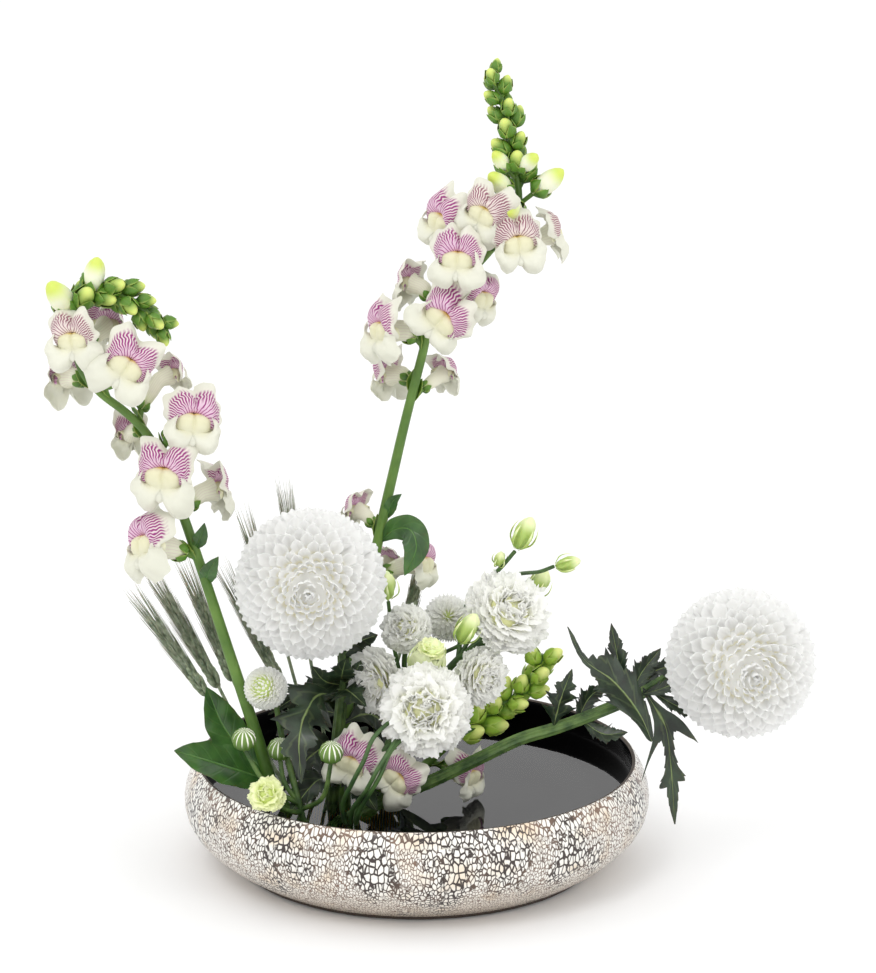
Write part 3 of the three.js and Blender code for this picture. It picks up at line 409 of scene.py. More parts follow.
def ring(sides, count, shift=0.0):
    """`count` directions round an axis, from its side and up, the first `shift` steps on."""
    side, up = sides
    angles = TAU * (np.arange(count) + shift) / count
    return [side * math.cos(angle) + up * math.sin(angle) for angle in angles]


class Path:
    """A smooth path through points, measured from 0 to 1 by its length."""

    FINE = 20  # steps between two points

    def __init__(self, points):
        knots = np.array(points, float)
        knots = np.vstack([2 * knots[0] - knots[1], knots, 2 * knots[-1] - knots[-2]])
        steps = np.linspace(0, 1, self.FINE, endpoint=False)[:, None]
        parts = []
        for p0, p1, p2, p3 in zip(knots, knots[1:], knots[2:], knots[3:]):
            d0, d1, d2 = (math.sqrt(np.linalg.norm(b - a)) for a, b in ((p0, p1), (p1, p2), (p2, p3)))
            m1 = ((p1 - p0) / d0 - (p2 - p0) / (d0 + d1) + (p2 - p1) / d1) * d1
            m2 = ((p2 - p1) / d1 - (p3 - p1) / (d1 + d2) + (p3 - p2) / d2) * d1
            s = steps
            parts.append((2 * s**3 - 3 * s**2 + 1) * p1 + (s**3 - 2 * s**2 + s) * m1
                         + (3 * s**2 - 2 * s**3) * p2 + (s**3 - s**2) * m2)
        self.line = np.vstack(parts + [knots[-2:-1]])
        lengths = np.linalg.norm(np.diff(self.line, axis=0), axis=1)
        self.length = lengths.sum()
        self.shares = np.concatenate([[0], np.cumsum(lengths)]) / self.length

    def at(self, share):
        share = np.clip(share, 0, 1)
        return np.stack([np.interp(share, self.shares, self.line[:, k]) for k in range(3)], -1)

    def along(self, share, reach=0.01):
        return unit(self.at(share + reach) - self.at(share - reach))

    def nearest(self, point):
        return self.shares[np.argmin(np.linalg.norm(self.line - point, axis=1))]


class Skin:
    """Grids of points, gathered into the one mesh of a piece, with a UV map: across and along."""

    RIM = 0.4  # a blade's thickness at its rim, as a share of that in its middle
    SHARP = 1.15  # edges that bend by more radians, such as the rims of petals, are shaded sharp

    def __init__(self):
        self.points, self.faces, self.uvs, self.slots = [], [], [], []
        self.count = 0
        self.low, self.high = 0, 1  # the share along that a grid's first and last row get

    def grid(self, points, slot, uv=None):
        """A skin over a grid of points, rows along and columns across, that closes round."""
        rows, columns = points.shape[:2]
        index = np.arange(rows * columns).reshape(rows, columns) + self.count
        index = np.hstack([index, index[:, :1]])
        if uv is None:
            u, v = np.meshgrid(np.linspace(0, 1, index.shape[1]), np.linspace(self.low, self.high, rows))
            uv = np.stack([u, v], -1)
        corners = ((0, 0), (0, 1), (1, 1), (1, 0))
        tall, wide = rows - 1, index.shape[1] - 1
        quads = np.stack([index[i:i + tall, j:j + wide] for i, j in corners], -1).reshape(-1, 4)
        loops = np.stack([uv[i:i + tall, j:j + wide] for i, j in corners], -2).reshape(-1, 4, 2)
        self.points.append(points.reshape(-1, 3))
        self.faces.extend(quads.tolist())
        self.uvs.extend(loops.reshape(-1, 2).tolist())
        self.slots.extend(np.repeat(np.broadcast_to(slot, tall), wide).tolist())
        self.count += rows * columns

    def closed(self, points, slot=0):
        """A grid that closes round and has a flat cap over its first and its last row."""
        rows, columns = points.shape[:2]
        first = np.arange(columns) + self.count
        self.grid(points, slot)
        for v, corners, band in ((0.0, first[::-1], 0), (1.0, first + (rows - 1) * columns, rows - 2)):
            self.faces.append(corners.tolist())
            self.uvs.extend([[0.5, v]] * columns)
            self.slots.append(int(np.broadcast_to(slot, rows - 1)[band]))

    def blade(self, points, thickness, slot=0):
        """An open sheet as a closed blade, thinner at its rim than in its middle."""
        rows, columns = points.shape[:2]
        normal = np.cross(np.gradient(points, axis=1), np.gradient(points, axis=0))
        normal /= np.linalg.norm(normal, axis=2, keepdims=True) + 1e-9
        u, v = np.meshgrid(np.linspace(0, 1, columns), np.linspace(0, 1, rows))
        rim = np.minimum.reduce([u, 1 - u, 1 - v]) * 5
        v = self.low + (self.high - self.low) * v
        half = normal * (thickness / 2 * (self.RIM + (1 - self.RIM) * np.clip(rim, 0, 1)))[..., None]
        both = np.concatenate([points + half, (points - half)[:, ::-1]], axis=1)
        uv = np.stack([u, v], -1)
        first = self.count
        self.grid(both, slot, np.concatenate([uv, uv[:, ::-1], uv[:, :1]], axis=1))
        for row in (0, rows - 1):
            start = first + row * 2 * columns
            for k in range(columns - 1):
                ends = [start + k + 1, start + k, start + 2 * columns - 1 - k, start + 2 * columns - 2 - k]
                self.faces.append(ends if row == 0 else ends[::-1])
                self.uvs.extend([[u[row, k], v[row, k]]] * 4)
                self.slots.append(slot)

    def made(self, name, *materials):
        """The gathered mesh as an object at the origin."""
        mesh = bpy.data.meshes.new(name)
        mesh.from_pydata((np.vstack(self.points) * MM).tolist(), [], self.faces)
        layer = mesh.uv_layers.new(name="UVMap")
        layer.uv.foreach_set("vector", np.array(self.uvs, np.float32).ravel())
        mesh.polygons.foreach_set("material_index", np.array(self.slots, np.int32))
        mesh.polygons.foreach_set("use_smooth", np.ones(len(self.faces), bool))
        for material in materials:
            mesh.materials.append(material)
        shell = bmesh.new()
        shell.from_mesh(mesh)
        bmesh.ops.recalc_face_normals(shell, faces=shell.faces)
        for edge in shell.edges:
            edge.smooth = edge.is_boundary or edge.calc_face_angle(0) < self.SHARP
        shell.to_mesh(mesh)
        shell.free()
        return placed(name, mesh)


def piece(made, slot, *nodes):
    """Attaches a finished object to the root body and hides the CAD nodes that it stands for."""
    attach(made, "root")
    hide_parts(*nodes)


# ------------------------------------------------------------------ geometry node trees


def tree_of(name, numbers, template=None):
    """An empty geometry tree and its inputs: the object it copies, numbers with their defaults and a
    material."""
    tree = bpy.data.node_groups.new(name, "GeometryNodeTree")
    kinds = {"Geometry": "Geometry", **({template: "Object"} if template else {})}
    kinds.update({label: "Int" if isinstance(number, int) else "Float" for label, number in numbers.items()})
    kinds["Material"] = "Material"
    tree.interface.new_socket("Geometry", in_out="OUTPUT", socket_type="NodeSocketGeometry")
    for label, kind in kinds.items():
        socket = tree.interface.new_socket(label, in_out="INPUT", socket_type="NodeSocket" + kind)
        if label in numbers:
            socket.default_value = numbers[label]
    return tree, add(tree, "NodeGroupInput").outputs


def finish_tree(tree, geometry, value):
    """Ends a tree: instances made real, smooth faces and one material."""
    real = add(tree, "GeometryNodeRealizeInstances", [geometry])
    smooth = add(tree, "GeometryNodeSetShadeSmooth", [real])
    painted = add(tree, "GeometryNodeSetMaterial", {0: smooth, "Material": value["Material"]})
    add(tree, "NodeGroupOutput", [painted])
    return tree


def leaning(tree, axis, away, bend):
    """The direction that leans `bend` radians from an axis towards `away`."""
    sine = add(tree, MATH, [bend], operation="SINE")
    cosine = add(tree, MATH, [bend], operation="COSINE")
    level = add(tree, VECTOR_MATH, {0: away, 3: sine}, operation="SCALE")
    raised = add(tree, VECTOR_MATH, {0: axis, 3: cosine}, operation="SCALE")
    return add(tree, VECTOR_MATH, [level, raised], operation="ADD")


def varied(tree, mean, operation, middle, spread, seed):
    """A value that differs at random from its mean, by a factor or by an addition."""
    chance = add(tree, "FunctionNodeRandomValue", {2: middle - spread, 3: middle + spread, "Seed": seed},
                 data_type="FLOAT")
    return add(tree, MATH, [mean, chance], operation=operation)


def copies(tree, value, points, place, shape, **how):
    """Ends a tree with copies of an object at points that are moved to their places."""
    moved = add(tree, "GeometryNodeSetPosition", {0: points, "Position": place})
    shape = add(tree, "GeometryNodeObjectInfo", {"Object": shape}).outputs["Geometry"]
    made = add(tree, "GeometryNodeInstanceOnPoints", {"Points": moved, "Instance": shape, **how})
    return finish_tree(tree, made, value)


def turned_copies(tree, value, points, place, shape, axis, away, grows, size):
    """Ends a tree with copies that grow along +Z and have their +Y sides round an axis."""
    round_it = add(tree, VECTOR_MATH, [axis, away], operation="CROSS_PRODUCT")
    turned = add(tree, "FunctionNodeAxesToRotation", [grows, round_it], primary_axis="Z",
                 secondary_axis="Y")
    return copies(tree, value, points, place, shape, Rotation=turned, Scale=size)


def stalk_tree():
    """Round stalks along every line of the source mesh, as thick as its radius attribute says."""
    tree, value = tree_of("stalks", {"Sides": 10, "Ridges": 5, "Ridge Depth": 0.0})
    lines = add(tree, "GeometryNodeMeshToCurve", [value[0]])
    circle = add(tree, "GeometryNodeCurvePrimitiveCircle", {"Resolution": value["Sides"], "Radius": 1.0})
    share = add(tree, "GeometryNodeSplineParameter")
    turns = add(tree, MATH, [share, value["Ridges"]], operation="MULTIPLY")
    angle = add(tree, MATH, [turns, TAU], operation="MULTIPLY")
    wave = add(tree, MATH, [angle], operation="COSINE")
    reach = add(tree, MATH, [wave, value["Ridge Depth"], 1.0], operation="MULTIPLY_ADD")
    place = add(tree, "GeometryNodeInputPosition")
    ridged = add(tree, VECTOR_MATH, {0: place, 3: reach}, operation="SCALE")
    section = add(tree, "GeometryNodeSetPosition", {0: circle, "Position": ridged})
    radius = add(tree, "GeometryNodeInputNamedAttribute", {"Name": "radius"}, data_type="FLOAT")
    swept = add(tree, "GeometryNodeCurveToMesh", {"Curve": lines, "Profile Curve": section, "Scale": radius,
                                                  "Fill Caps": True})
    return finish_tree(tree, swept, value)


def spiral_tree():
    """Copies of a bud, grain or awn that stand round a line, each a set angle on from the last."""
    tree, value = tree_of("spiral", {
        "Count": 10, "From": 0.0, "To": 1.0, "Turn": GOLDEN_ANGLE, "Stand": 0.0, "Lean": 0.5, "Large": 1.0,
        "Small": 1.0, "Seed": 0}, "Piece")
    line = add(tree, "GeometryNodeMeshToCurve", [value[0]])
    points = add(tree, "GeometryNodePoints", {"Count": value["Count"]})
    index = add(tree, "GeometryNodeInputIndex")
    last = add(tree, MATH, [value["Count"], 1.0], operation="SUBTRACT")
    share = add(tree, MATH, [index, last], operation="DIVIDE")
    where = add(tree, MAP_RANGE, {0: share, 3: value["From"], 4: value["To"]})
    sample = add(tree, "GeometryNodeSampleCurve", {"Curves": line, "Factor": where}, mode="FACTOR").outputs
    angle = add(tree, MATH, [index, value["Turn"]], operation="MULTIPLY")
    angle = varied(tree, angle, "ADD", 0, 0.25, value["Seed"])
    away = add(tree, "ShaderNodeVectorRotate", {"Vector": sample["Normal"], "Axis": sample["Tangent"],
                                                "Angle": angle}, rotation_type="AXIS_ANGLE")
    size = add(tree, MAP_RANGE, {0: share, 3: value["Large"], 4: value["Small"]})
    size = varied(tree, size, "MULTIPLY", 1, 0.12, value["Seed"])
    reach = add(tree, MATH, [size, value["Stand"]], operation="MULTIPLY")
    offset = add(tree, VECTOR_MATH, {0: away, 3: reach}, operation="SCALE")
    place = add(tree, VECTOR_MATH, [sample["Position"], offset], operation="ADD")
    grows = leaning(tree, sample["Tangent"], away, value["Lean"])
    return turned_copies(tree, value, points, place, value["Piece"], sample["Tangent"], away, grows, size)


def dome_tree():
    """Petals that stand out of a round bloom in a sunflower spiral from its middle to its back."""
    tree, value = tree_of("petal_dome", {
        "Count": 200, "Radius": 0.05, "Length": 0.015, "Reach": 1.6, "Crowd": 1.0, "Middle Lean": 0.1,
        "Edge Lean": 0.5, "Middle Size": 0.6, "Edge Size": 1.0, "Seed": 0}, "Petal")
    axis = (0, 0, 1)
    points = add(tree, "GeometryNodePoints", {"Count": value["Count"]})
    index = add(tree, "GeometryNodeInputIndex")
    share = add(tree, MATH, [index, value["Count"]], operation="DIVIDE")
    crowded = add(tree, MATH, [share, value["Crowd"]], operation="POWER")
    drop = add(tree, MATH, [crowded, value["Reach"]], operation="MULTIPLY")
    height = add(tree, MATH, [1.0, drop], operation="SUBTRACT")
    polar = add(tree, MATH, [height], operation="ARCCOSINE")
    polar = varied(tree, polar, "ADD", 0, 0.05, value["Seed"])
    angle = add(tree, MATH, [index, GOLDEN_ANGLE], operation="MULTIPLY")
    away = add(tree, "ShaderNodeVectorRotate", {"Vector": (1, 0, 0), "Axis": axis, "Angle": angle},
               rotation_type="AXIS_ANGLE")
    grown_share = add(tree, MAP_RANGE, [polar, 0.0, 1.5])
    lean = add(tree, MAP_RANGE, {0: grown_share, 3: value["Middle Lean"], 4: value["Edge Lean"]})
    tilt = add(tree, MATH, [polar, lean], operation="ADD")
    size = add(tree, MAP_RANGE, {0: grown_share, 3: value["Middle Size"], 4: value["Edge Size"]})
    size = varied(tree, size, "MULTIPLY", 1, 0.08, value["Seed"])
    taken = add(tree, MATH, [size, value["Length"]], operation="MULTIPLY")
    depth = add(tree, MATH, [value["Radius"], taken], operation="SUBTRACT")
    place = add(tree, VECTOR_MATH, {0: leaning(tree, axis, away, polar), 3: depth}, operation="SCALE")
    grows = leaning(tree, axis, away, tilt)
    return turned_copies(tree, value, points, place, value["Petal"], axis, away, grows, size)


def pin_tree():
    """Pins in close rows over a round base."""
    tree, value = tree_of("pins", {"Field": 0.04, "Pitch": 0.004, "Rows": 20}, "Pin")
    rows = value["Rows"]
    total = add(tree, MATH, [rows, rows], operation="MULTIPLY")
    points = add(tree, "GeometryNodePoints", {"Count": total})
    index = add(tree, "GeometryNodeInputIndex")
    ratio = add(tree, MATH, [index, rows], operation="DIVIDE")
    row = add(tree, MATH, [ratio], operation="FLOOR")
    column = add(tree, MATH, [index, rows], operation="MODULO")
    odd = add(tree, MATH, [row, 2.0], operation="MODULO")
    shifted = add(tree, MATH, [odd, 0.5, column], operation="MULTIPLY_ADD")
    half = add(tree, MATH, [rows, 0.5], operation="MULTIPLY")
    places = []
    for count, pitch in ((shifted, 1.0), (row, math.sqrt(0.75))):
        centred = add(tree, MATH, [count, half], operation="SUBTRACT")
        step = add(tree, MATH, [value["Pitch"], pitch], operation="MULTIPLY")
        places.append(add(tree, MATH, [centred, step], operation="MULTIPLY"))
    place = add(tree, "ShaderNodeCombineXYZ", places)
    reach = add(tree, VECTOR_MATH, [place], operation="LENGTH")
    inside = add(tree, "FunctionNodeCompare", [reach, value["Field"]], operation="LESS_THAN")
    return copies(tree, value, points, place, value["Pin"], Selection=inside)


STALKS = stalk_tree()
SPIRAL = spiral_tree()
DOME = dome_tree()
PINS = pin_tree()


def grown(name, tree, lines, inputs, place=None):
    """The plain mesh that a tree makes of lines, each a list of points and their radii."""
    points, edges, radii = [], [], []
    for line, radius in lines:
        first = len(points)
        points.extend((np.asarray(line) * MM).tolist())
        radii.extend((np.broadcast_to(radius, len(line)) * MM).tolist())
        edges.extend((k, k + 1) for k in range(first, len(points) - 1))
    source = bpy.data.meshes.new(name + "_lines")
    source.from_pydata(points or [(0, 0, 0)], edges, [])
    source.attributes.new("radius", "FLOAT", "POINT").data.foreach_set("value", radii or [0.0])
    made = placed(name, source)
    growth = made.modifiers.new("growth", "NODES")
    growth.node_group = tree
    names = {item.name: item.identifier for item in tree.interface.items_tree if item.in_out == "INPUT"}
    for label, value in inputs.items():
        growth[names[label]] = value
    mesh = bpy.data.meshes.new_from_object(made.evaluated_get(bpy.context.evaluated_depsgraph_get()))
    made.modifiers.remove(growth)
    made.data = mesh
    mesh.name = name
    if place is not None:
        mesh.transform(place)
    return made


def stalks(name, material, lines, sides=10, ridges=5, ridge_depth=0.0):
    """Stalks along lines as one object."""
    return grown(name, STALKS, lines, {"Sides": sides, "Ridges": ridges, "Ridge Depth": ridge_depth,
                                       "Material": material})


def stalk(points, start, end, steps=40):
    """A tapered line of points and radii for `stalks`."""
    path = points if isinstance(points, Path) else Path(points)
    shares = np.linspace(0, 1, steps)
    return path.at(shares), start + (end - start) * shares


def set_in(centre, direction):
    """Places a mesh that grows along +Z at a centre, looking in a direction."""
    side, up = across(direction)
    turn = Matrix((tuple(side), tuple(up), tuple(direction))).transposed().to_4x4()
    return Matrix.Translation(Vector(centre) * MM) @ turn


# ------------------------------------------------------------------ bowl, water and pin holder

FLOOR = 9  # height of the bowl's floor inside
BOWL_OUTSIDE = [(0.1, 0), (112, 0), (121, 0.2), (123, 1.2), (123.6, 3.2), (127, 5), (138, 12), (147, 19.5),
                (154, 27), (158, 34.5), (159.8, 42), (160, 48), (158.6, 56), (155.6, 64), (152.2, 69.6)]
BOWL_LIP = [(151.2, 71.2), (150.2, 71.9), (149, 71.9), (148, 71.2)]
BOWL_INSIDE = [(147.6, 69), (148.8, 62), (150.3, 54), (149.8, 42), (146, 28), (140, 20), (131, 13.4),
               (120, 9.8), (100, 9), (0.1, FLOOR)]
FOOT_BANDS = 4
WATER_LEVEL = 54
KENZAN = (-50, -45, FLOOR + 0.4)


def lathe(profile, steps=200):
    """A profile of (radius, height) turned round the bowl's axis, as a grid of points."""
    angles = np.linspace(0, TAU, steps, endpoint=False)
    radius, height = np.array(profile, float).T
    return np.stack([np.outer(radius, np.cos(angles)), np.outer(radius, np.sin(angles)),
                     np.outer(height, np.ones(steps))], -1)


def ball(radius, steps, gap=0.03):
    """The profile of a ball that stays open by `gap` radians at each end."""
    return [(radius * math.sin(a), -radius * math.cos(a)) for a in np.linspace(gap, math.pi - gap, steps)]


def bowl():
    """The wide bowl: a bare foot, crackled outside, thin brown lip and black inside."""
    skin = Skin()
    profile = BOWL_OUTSIDE + BOWL_LIP + BOWL_INSIDE
    outside = len(BOWL_OUTSIDE) - 1
    slots = [1] * FOOT_BANDS + [0] * (outside - FOOT_BANDS + 2) + [1] * (len(BOWL_LIP) - 2)
    slots += [2] * (len(profile) - 1 - len(slots))
    skin.closed(lathe(profile), slots)
    piece(skin.made("crackle_bowl", CRACKLE, BARE_CLAY, BLACK_GLAZE), "crackle_glaze", "bowl")


def water():
    """Still water that climbs a little where it meets the glaze. Its sides run into the bowl."""
    skin = Skin()
    top = [(0.1, WATER_LEVEL), (100, WATER_LEVEL), (146, WATER_LEVEL), (149, WATER_LEVEL + 0.2),
           (150.2, WATER_LEVEL + 0.9), (151.5, WATER_LEVEL + 1.1)]
    below = [(151.2, 54), (150.7, 42), (147, 27.4), (141, 19.2), (132, 12.6), (120, 8.9), (100, 8), (0.1, 8)]
    skin.closed(lathe(top + below, 120))
    piece(skin.made("bowl_water", WATER), "water", "water")


def pin_holder():
    """The pin holder: a heavy round base full of brass pins."""
    skin = Skin()
    base = [(0.1, 0), (41.5, 0), (43, 1.2), (43, 8.6), (41.8, 10), (0.1, 10)]
    skin.closed(lathe(base, 72) + np.array(KENZAN))
    piece(skin.made("kenzan_base", LEAD), "kenzan_metal", "kenzan")
    pin = Skin()
    pin.closed(lathe([(0.55, -0.5), (0.55, 12), (0.08, 14)], 6))
    template = pin.made("pin", BRASS)
    place = Matrix.Translation(Vector(KENZAN) * MM + Vector((0, 0, 10 * MM)))
    made = grown("kenzan_pins", PINS, [], {"Pin": template, "Field": 39 * MM, "Pitch": 3.6 * MM, "Rows": 24,
                                           "Material": BRASS}, place)
    bpy.data.objects.remove(template)
    piece(made, "kenzan_metal", "kenzan")


# ------------------------------------------------------------------ leaves and buds


def outline(shares, widths):
    """A width for each share of the way along, from (share, width) pairs."""
    pairs = np.array(widths, float)
    return np.interp(shares, pairs[:, 0], pairs[:, 1])


OVAL = [(0, 0.12), (0.06, 0.34), (0.2, 0.8), (0.36, 0.98), (0.5, 1), (0.66, 0.9), (0.82, 0.6),
        (0.93, 0.28), (1, 0.02)]
OVAL_BLUNT = [(0, 0.2), (0.12, 0.55), (0.35, 0.92), (0.6, 1), (0.82, 0.92), (0.94, 0.66), (1, 0.2)]
NARROW = [(0, 0.3), (0.15, 0.75), (0.35, 1), (0.6, 0.85), (0.85, 0.4), (1, 0.03)]
LOBED = [(0, 0.08), (0.1, 0.1), (0.18, 0.36), (0.27, 0.98), (0.3, 1.0), (0.39, 0.36), (0.47, 0.82),
         (0.53, 1.0), (0.6, 0.32), (0.68, 0.6), (0.73, 0.66), (0.8, 0.28), (0.9, 0.2), (1, 0.02)]
DRAPED = [(0, 0.2), (0.1, 0.4), (0.2, 0.66), (0.3, 1.0), (0.36, 0.8), (0.45, 0.92), (0.52, 1.0),
          (0.6, 0.5), (0.66, 0.5), (0.7, 0.2), (0.8, 0.13), (0.92, 0.1), (1, 0.02)]
FINGERED = [(0, 0.06), (0.08, 0.1), (0.15, 0.3), (0.2, 0.86), (0.23, 1.0), (0.26, 0.7), (0.29, 0.28),
            (0.36, 0.17), (0.5, 0.16), (0.58, 0.24), (0.63, 0.44), (0.66, 0.4), (0.69, 0.2), (0.78, 0.17),
            (0.88, 0.12), (1, 0.02)]
SPIKY = [(0, 0.2), (0.2, 0.6), (0.3, 0.9), (0.34, 0.6), (0.5, 0.9), (0.54, 1.0), (0.6, 0.56), (0.72, 0.72),
         (0.76, 0.5), (0.88, 0.34), (1, 0.02)]


def leaf(skin, rib, width, edge, face, cup=0.16, teeth=0.0, lead=0.07, thickness=0.7, rows=46, columns=15):
    """A leaf along its rib. Its edges lift by `cup`, its lobes lean forward by `lead` and it may have
    teeth. The two sides of a toothed leaf are a little out of step."""
    path = Path(rib)
    rng = np.random.default_rng(int(abs(rib[-1][0] * 7 + rib[-1][2])))
    shares = np.linspace(0, 1, rows)
    spread = np.linspace(-1, 1, columns)
    phase = rng.uniform(0, TAU, 3)
    step = rng.uniform(0.02, 0.05) * (teeth > 0)
    sides = []
    for shift in (-step, step):
        half = outline(np.clip(shares + shift * np.sin(shares * math.pi), 0, 1), edge) * width / 2
        sides.append(half * (1 + teeth * (((shares * 13 + 9 * shift) % 1) - 0.5) * np.sin(shares * math.pi)))
    points = np.zeros((rows, columns, 3))
    for row, share in enumerate(shares):
        half = np.where(spread < 0, sides[0][row], sides[1][row])
        forward = lead * np.abs(spread) ** 1.5 * half / (width / 2) * (1 - share)
        centre = path.at(np.minimum(share + forward, 1))
        side, up = across(path.along(share, 0.03), np.array(face, float))
        wave = 0.06 * np.sin(share * 9 + phase[0]) * spread + 0.05 * np.sin(share * 23 + phase[1]) * spread**2
        lift = cup * np.abs(spread) + wave
        points[row] = centre + np.outer(spread * half, side) + np.outer(lift * half, up)
    skin.blade(points, thickness)


SEPAL_GREEN = 0.6  # sepals stop short of the pale tip that a bud's skin has further along


BUD_SHAPE = [(0.18, 0), (0.52, 0.08), (0.82, 0.22), (0.98, 0.4), (1, 0.54), (0.9, 0.7), (0.66, 0.85),
             (0.36, 0.95), (0.1, 0.995)]


def bud_profile(width, length):
    """(radius, height) of a closed bud."""
    return [(radius * width / 2, height * length) for radius, height in BUD_SHAPE]


def turned_round(profile, root, direction, steps, fluted=0.0, flutes=5, twist=0.0):
    """A lathed grid that grows from a root in a direction, with flutes that may twist."""
    side, up = across(unit(np.array(direction, float)))
    ahead = np.cross(side, up)
    ahead = ahead if np.dot(ahead, direction) > 0 else -ahead
    angles = np.linspace(0, TAU, steps, endpoint=False)
    rows = []
    for row, (radius, height) in enumerate(profile):
        reach = radius * (1 + fluted * np.cos(flutes * (angles + twist * row / len(profile))))
        rows.append(np.array(root, float) + ahead * height + np.outer(reach * np.cos(angles), side)
                    + np.outer(reach * np.sin(angles), up))
    return np.array(rows)


def sepal(skin, root, direction, out, length, width, hug):
    """A pointed green blade at the foot of a bud or flower that wraps round it at `hug` from its axis."""
    points = [np.array(root) + direction * length * along + out * hug * away
              for along, away in ((0, 0.3), (0.3, 1.08), (0.65, 1.2), (1, 0.98))]
    leaf(skin, points, width, OVAL, face=out, cup=-0.45, thickness=0.5, rows=10, columns=7)


BUD_STRETCH = 1.9  # length of a single snapdragon bud, in its own widths


def bud(skin, root, middle, width):
    """A closed bud in the skin's second material, with its sepals in the first."""
    root, middle = np.array(root, float), np.array(middle, float)
    direction = unit(middle - root)
    length = BUD_STRETCH * width
    foot = middle - direction * length * 0.5
    skin.closed(turned_round(bud_profile(width, length), foot, direction, 24, 0.05, 5, 0.8), 1)
    skin.high = SEPAL_GREEN
    for out in ring(across(direction), 5):
        sepal(skin, foot, direction, out, width * 0.85, width * 0.62, width * 0.5)
    skin.high = 1


def bud_template(name, material):
    """The bud that the spirals repeat, 10 mm wide, grown along +Z and nearly wrapped in its sepals."""
    width = 10
    skin = Skin()
    skin.closed(lathe([(1.3, -4), (1.2, 0)] + bud_profile(width * 0.86, width * 1.45), 12))
    skin.high = SEPAL_GREEN
    for k, out in enumerate(ring((np.array([1, 0, 0]), np.array([0, 1, 0])), 4, 0.5)):
        sepal(skin, np.zeros(3), UP, out, width * (1.18 - 0.16 * (k % 2)), width * 0.78, width * 0.47)
    return skin.made(name, material)


# ------------------------------------------------------------------ snapdragons

FLORET_LENGTH = 27
# how far the lips reach from the middle of a floret, by the angle from the top or the bottom
HOOD_EDGE = [(0, 18), (6, 20), (14, 24), (26, 25.5), (40, 24.5), (56, 22), (70, 20), (84, 18.5), (98, 17),
             (112, 13)]
LIP_EDGE = [(0, 11.5), (4, 14.5), (8, 20), (14, 25), (24, 28), (36, 28.5), (48, 27.5), (60, 25.5),
            (70, 22.5), (80, 18), (90, 15.5), (100, 14), (110, 13)]


def floret_frame(place):
    """Root, forward, side and up of a floret, and its size."""
    forward = facing(place["turn"], place.get("lift", 0))
    side, up = across(forward)
    roll = math.radians(place.get("roll", 0))
    side, up = side * math.cos(roll) - up * math.sin(roll), side * math.sin(roll) + up * math.cos(roll)
    size = place.get("size", 1)
    return np.array(place["face"], float) - forward * FLORET_LENGTH * size, forward, side, up, size


def in_floret(place, ahead, wide, high):
    """Points of a floret, from its own ahead, wide and high, in the arrangement."""
    root, forward, side, up, size = floret_frame(place)
    ahead, wide, high = np.broadcast_arrays(ahead, wide, high)
    return root + size * (ahead[..., None] * forward + wide[..., None] * side + high[..., None] * up)


FAR_FROM_STEM, AT_STEM = 10, 8  # how far off its stem a tube may start, and where it starts if not


def tube_foot(path, place):
    """Where a floret's tube starts: on its stem's side when its own root is far from the stem."""
    seat = floret_frame(place)[0]
    stem = path.at(max(0, path.nearest(seat) - 0.015))
    away = np.linalg.norm(seat - stem)
    return seat if away < FAR_FROM_STEM else stem + (seat - stem) * AT_STEM / away


def floret_tube(path, place):
    """The tube of a floret from its foot to its mouth, as a grid of points."""
    root, forward, _, up, size = floret_frame(place)
    foot = tube_foot(path, place)
    ends = [root + forward * ahead * size + up * size for ahead in (8, 15, 21.5)]
    line = Path([foot] + ends)
    radii = [(0, 2.2), (0.08, 4.4), (0.25, 6.4), (0.45, 7.8), (0.65, 8.0), (0.82, 8.6), (1, 10.8)]
    angles = np.linspace(0, TAU, 24, endpoint=False)
    rows = []
    for share in np.linspace(0, 1, 12):
        reach = outline(share, radii) * size * (1 + 0.05 * np.cos(3 * angles))
        across_it, upright = across(line.along(share, 0.04), up)
        rows.append(line.at(share) + np.outer(0.92 * reach * np.sin(angles), across_it)
                    + np.outer(reach * np.cos(angles), upright))
    return np.array(rows)


def floret_hood(rng):
    """Ahead, wide and high of the upper lip: a bonnet of two lobes that bulges over the mouth and
    rolls back to a loose white margin."""
    angles = np.linspace(-112, 112, 61)
    shares = np.linspace(0, 1, 25)
    phase = rng.uniform(0, TAU, 4)
    flare = rng.uniform(0.4, 1.35, 2)
    ahead, radius = np.zeros((25, 61)), np.zeros((25, 61))
    for k, angle in enumerate(angles):
        away = abs(angle)
        reach = outline(away, HOOD_EDGE)
        cheek = min(max((away - 55) / 45, 0), 1)
        rolled = (1 - 0.75 * cheek) * flare[int(angle > 0)]
        crease = math.exp(-((away / 9) ** 2))
        ways = Path([(6 + 7 * cheek, 21, 0), (8 + 6 * cheek, 27.5 - 3 * cheek, 0),
                     (0.48 * reach + 2 + 1.5 * cheek, 31.4 - 4 * cheek - 1.4 * crease, 0),
                     (0.72 * reach + cheek, 30.8 - 3 * cheek - 1.8 * crease, 0),
                     (0.92 * reach, 29.4 - 6 * rolled - 2 * crease - 2 * cheek, 0),
                     ((1.02 + 0.1 * rolled) * reach, 29 - 14 * rolled - 2 * crease - 3 * cheek, 0)])
        radius[:, k], ahead[:, k] = ways.at(shares)[:, :2].T
    share, turn = shares[:, None], np.radians(angles)[None]
    ruffle = share**3 * (3.0 * np.sin(turn * 4 + phase[0]) + 1.2 * np.sin(turn * 11 + phase[1]))
    frill = 0.09 * np.sin(turn * 5 + phase[2]) + 0.04 * np.sin(turn * 13 + phase[3])
    radius = radius * (1 + share**3 * frill)
    return ahead + ruffle, radius * np.sin(turn), 1 + radius * np.cos(turn)


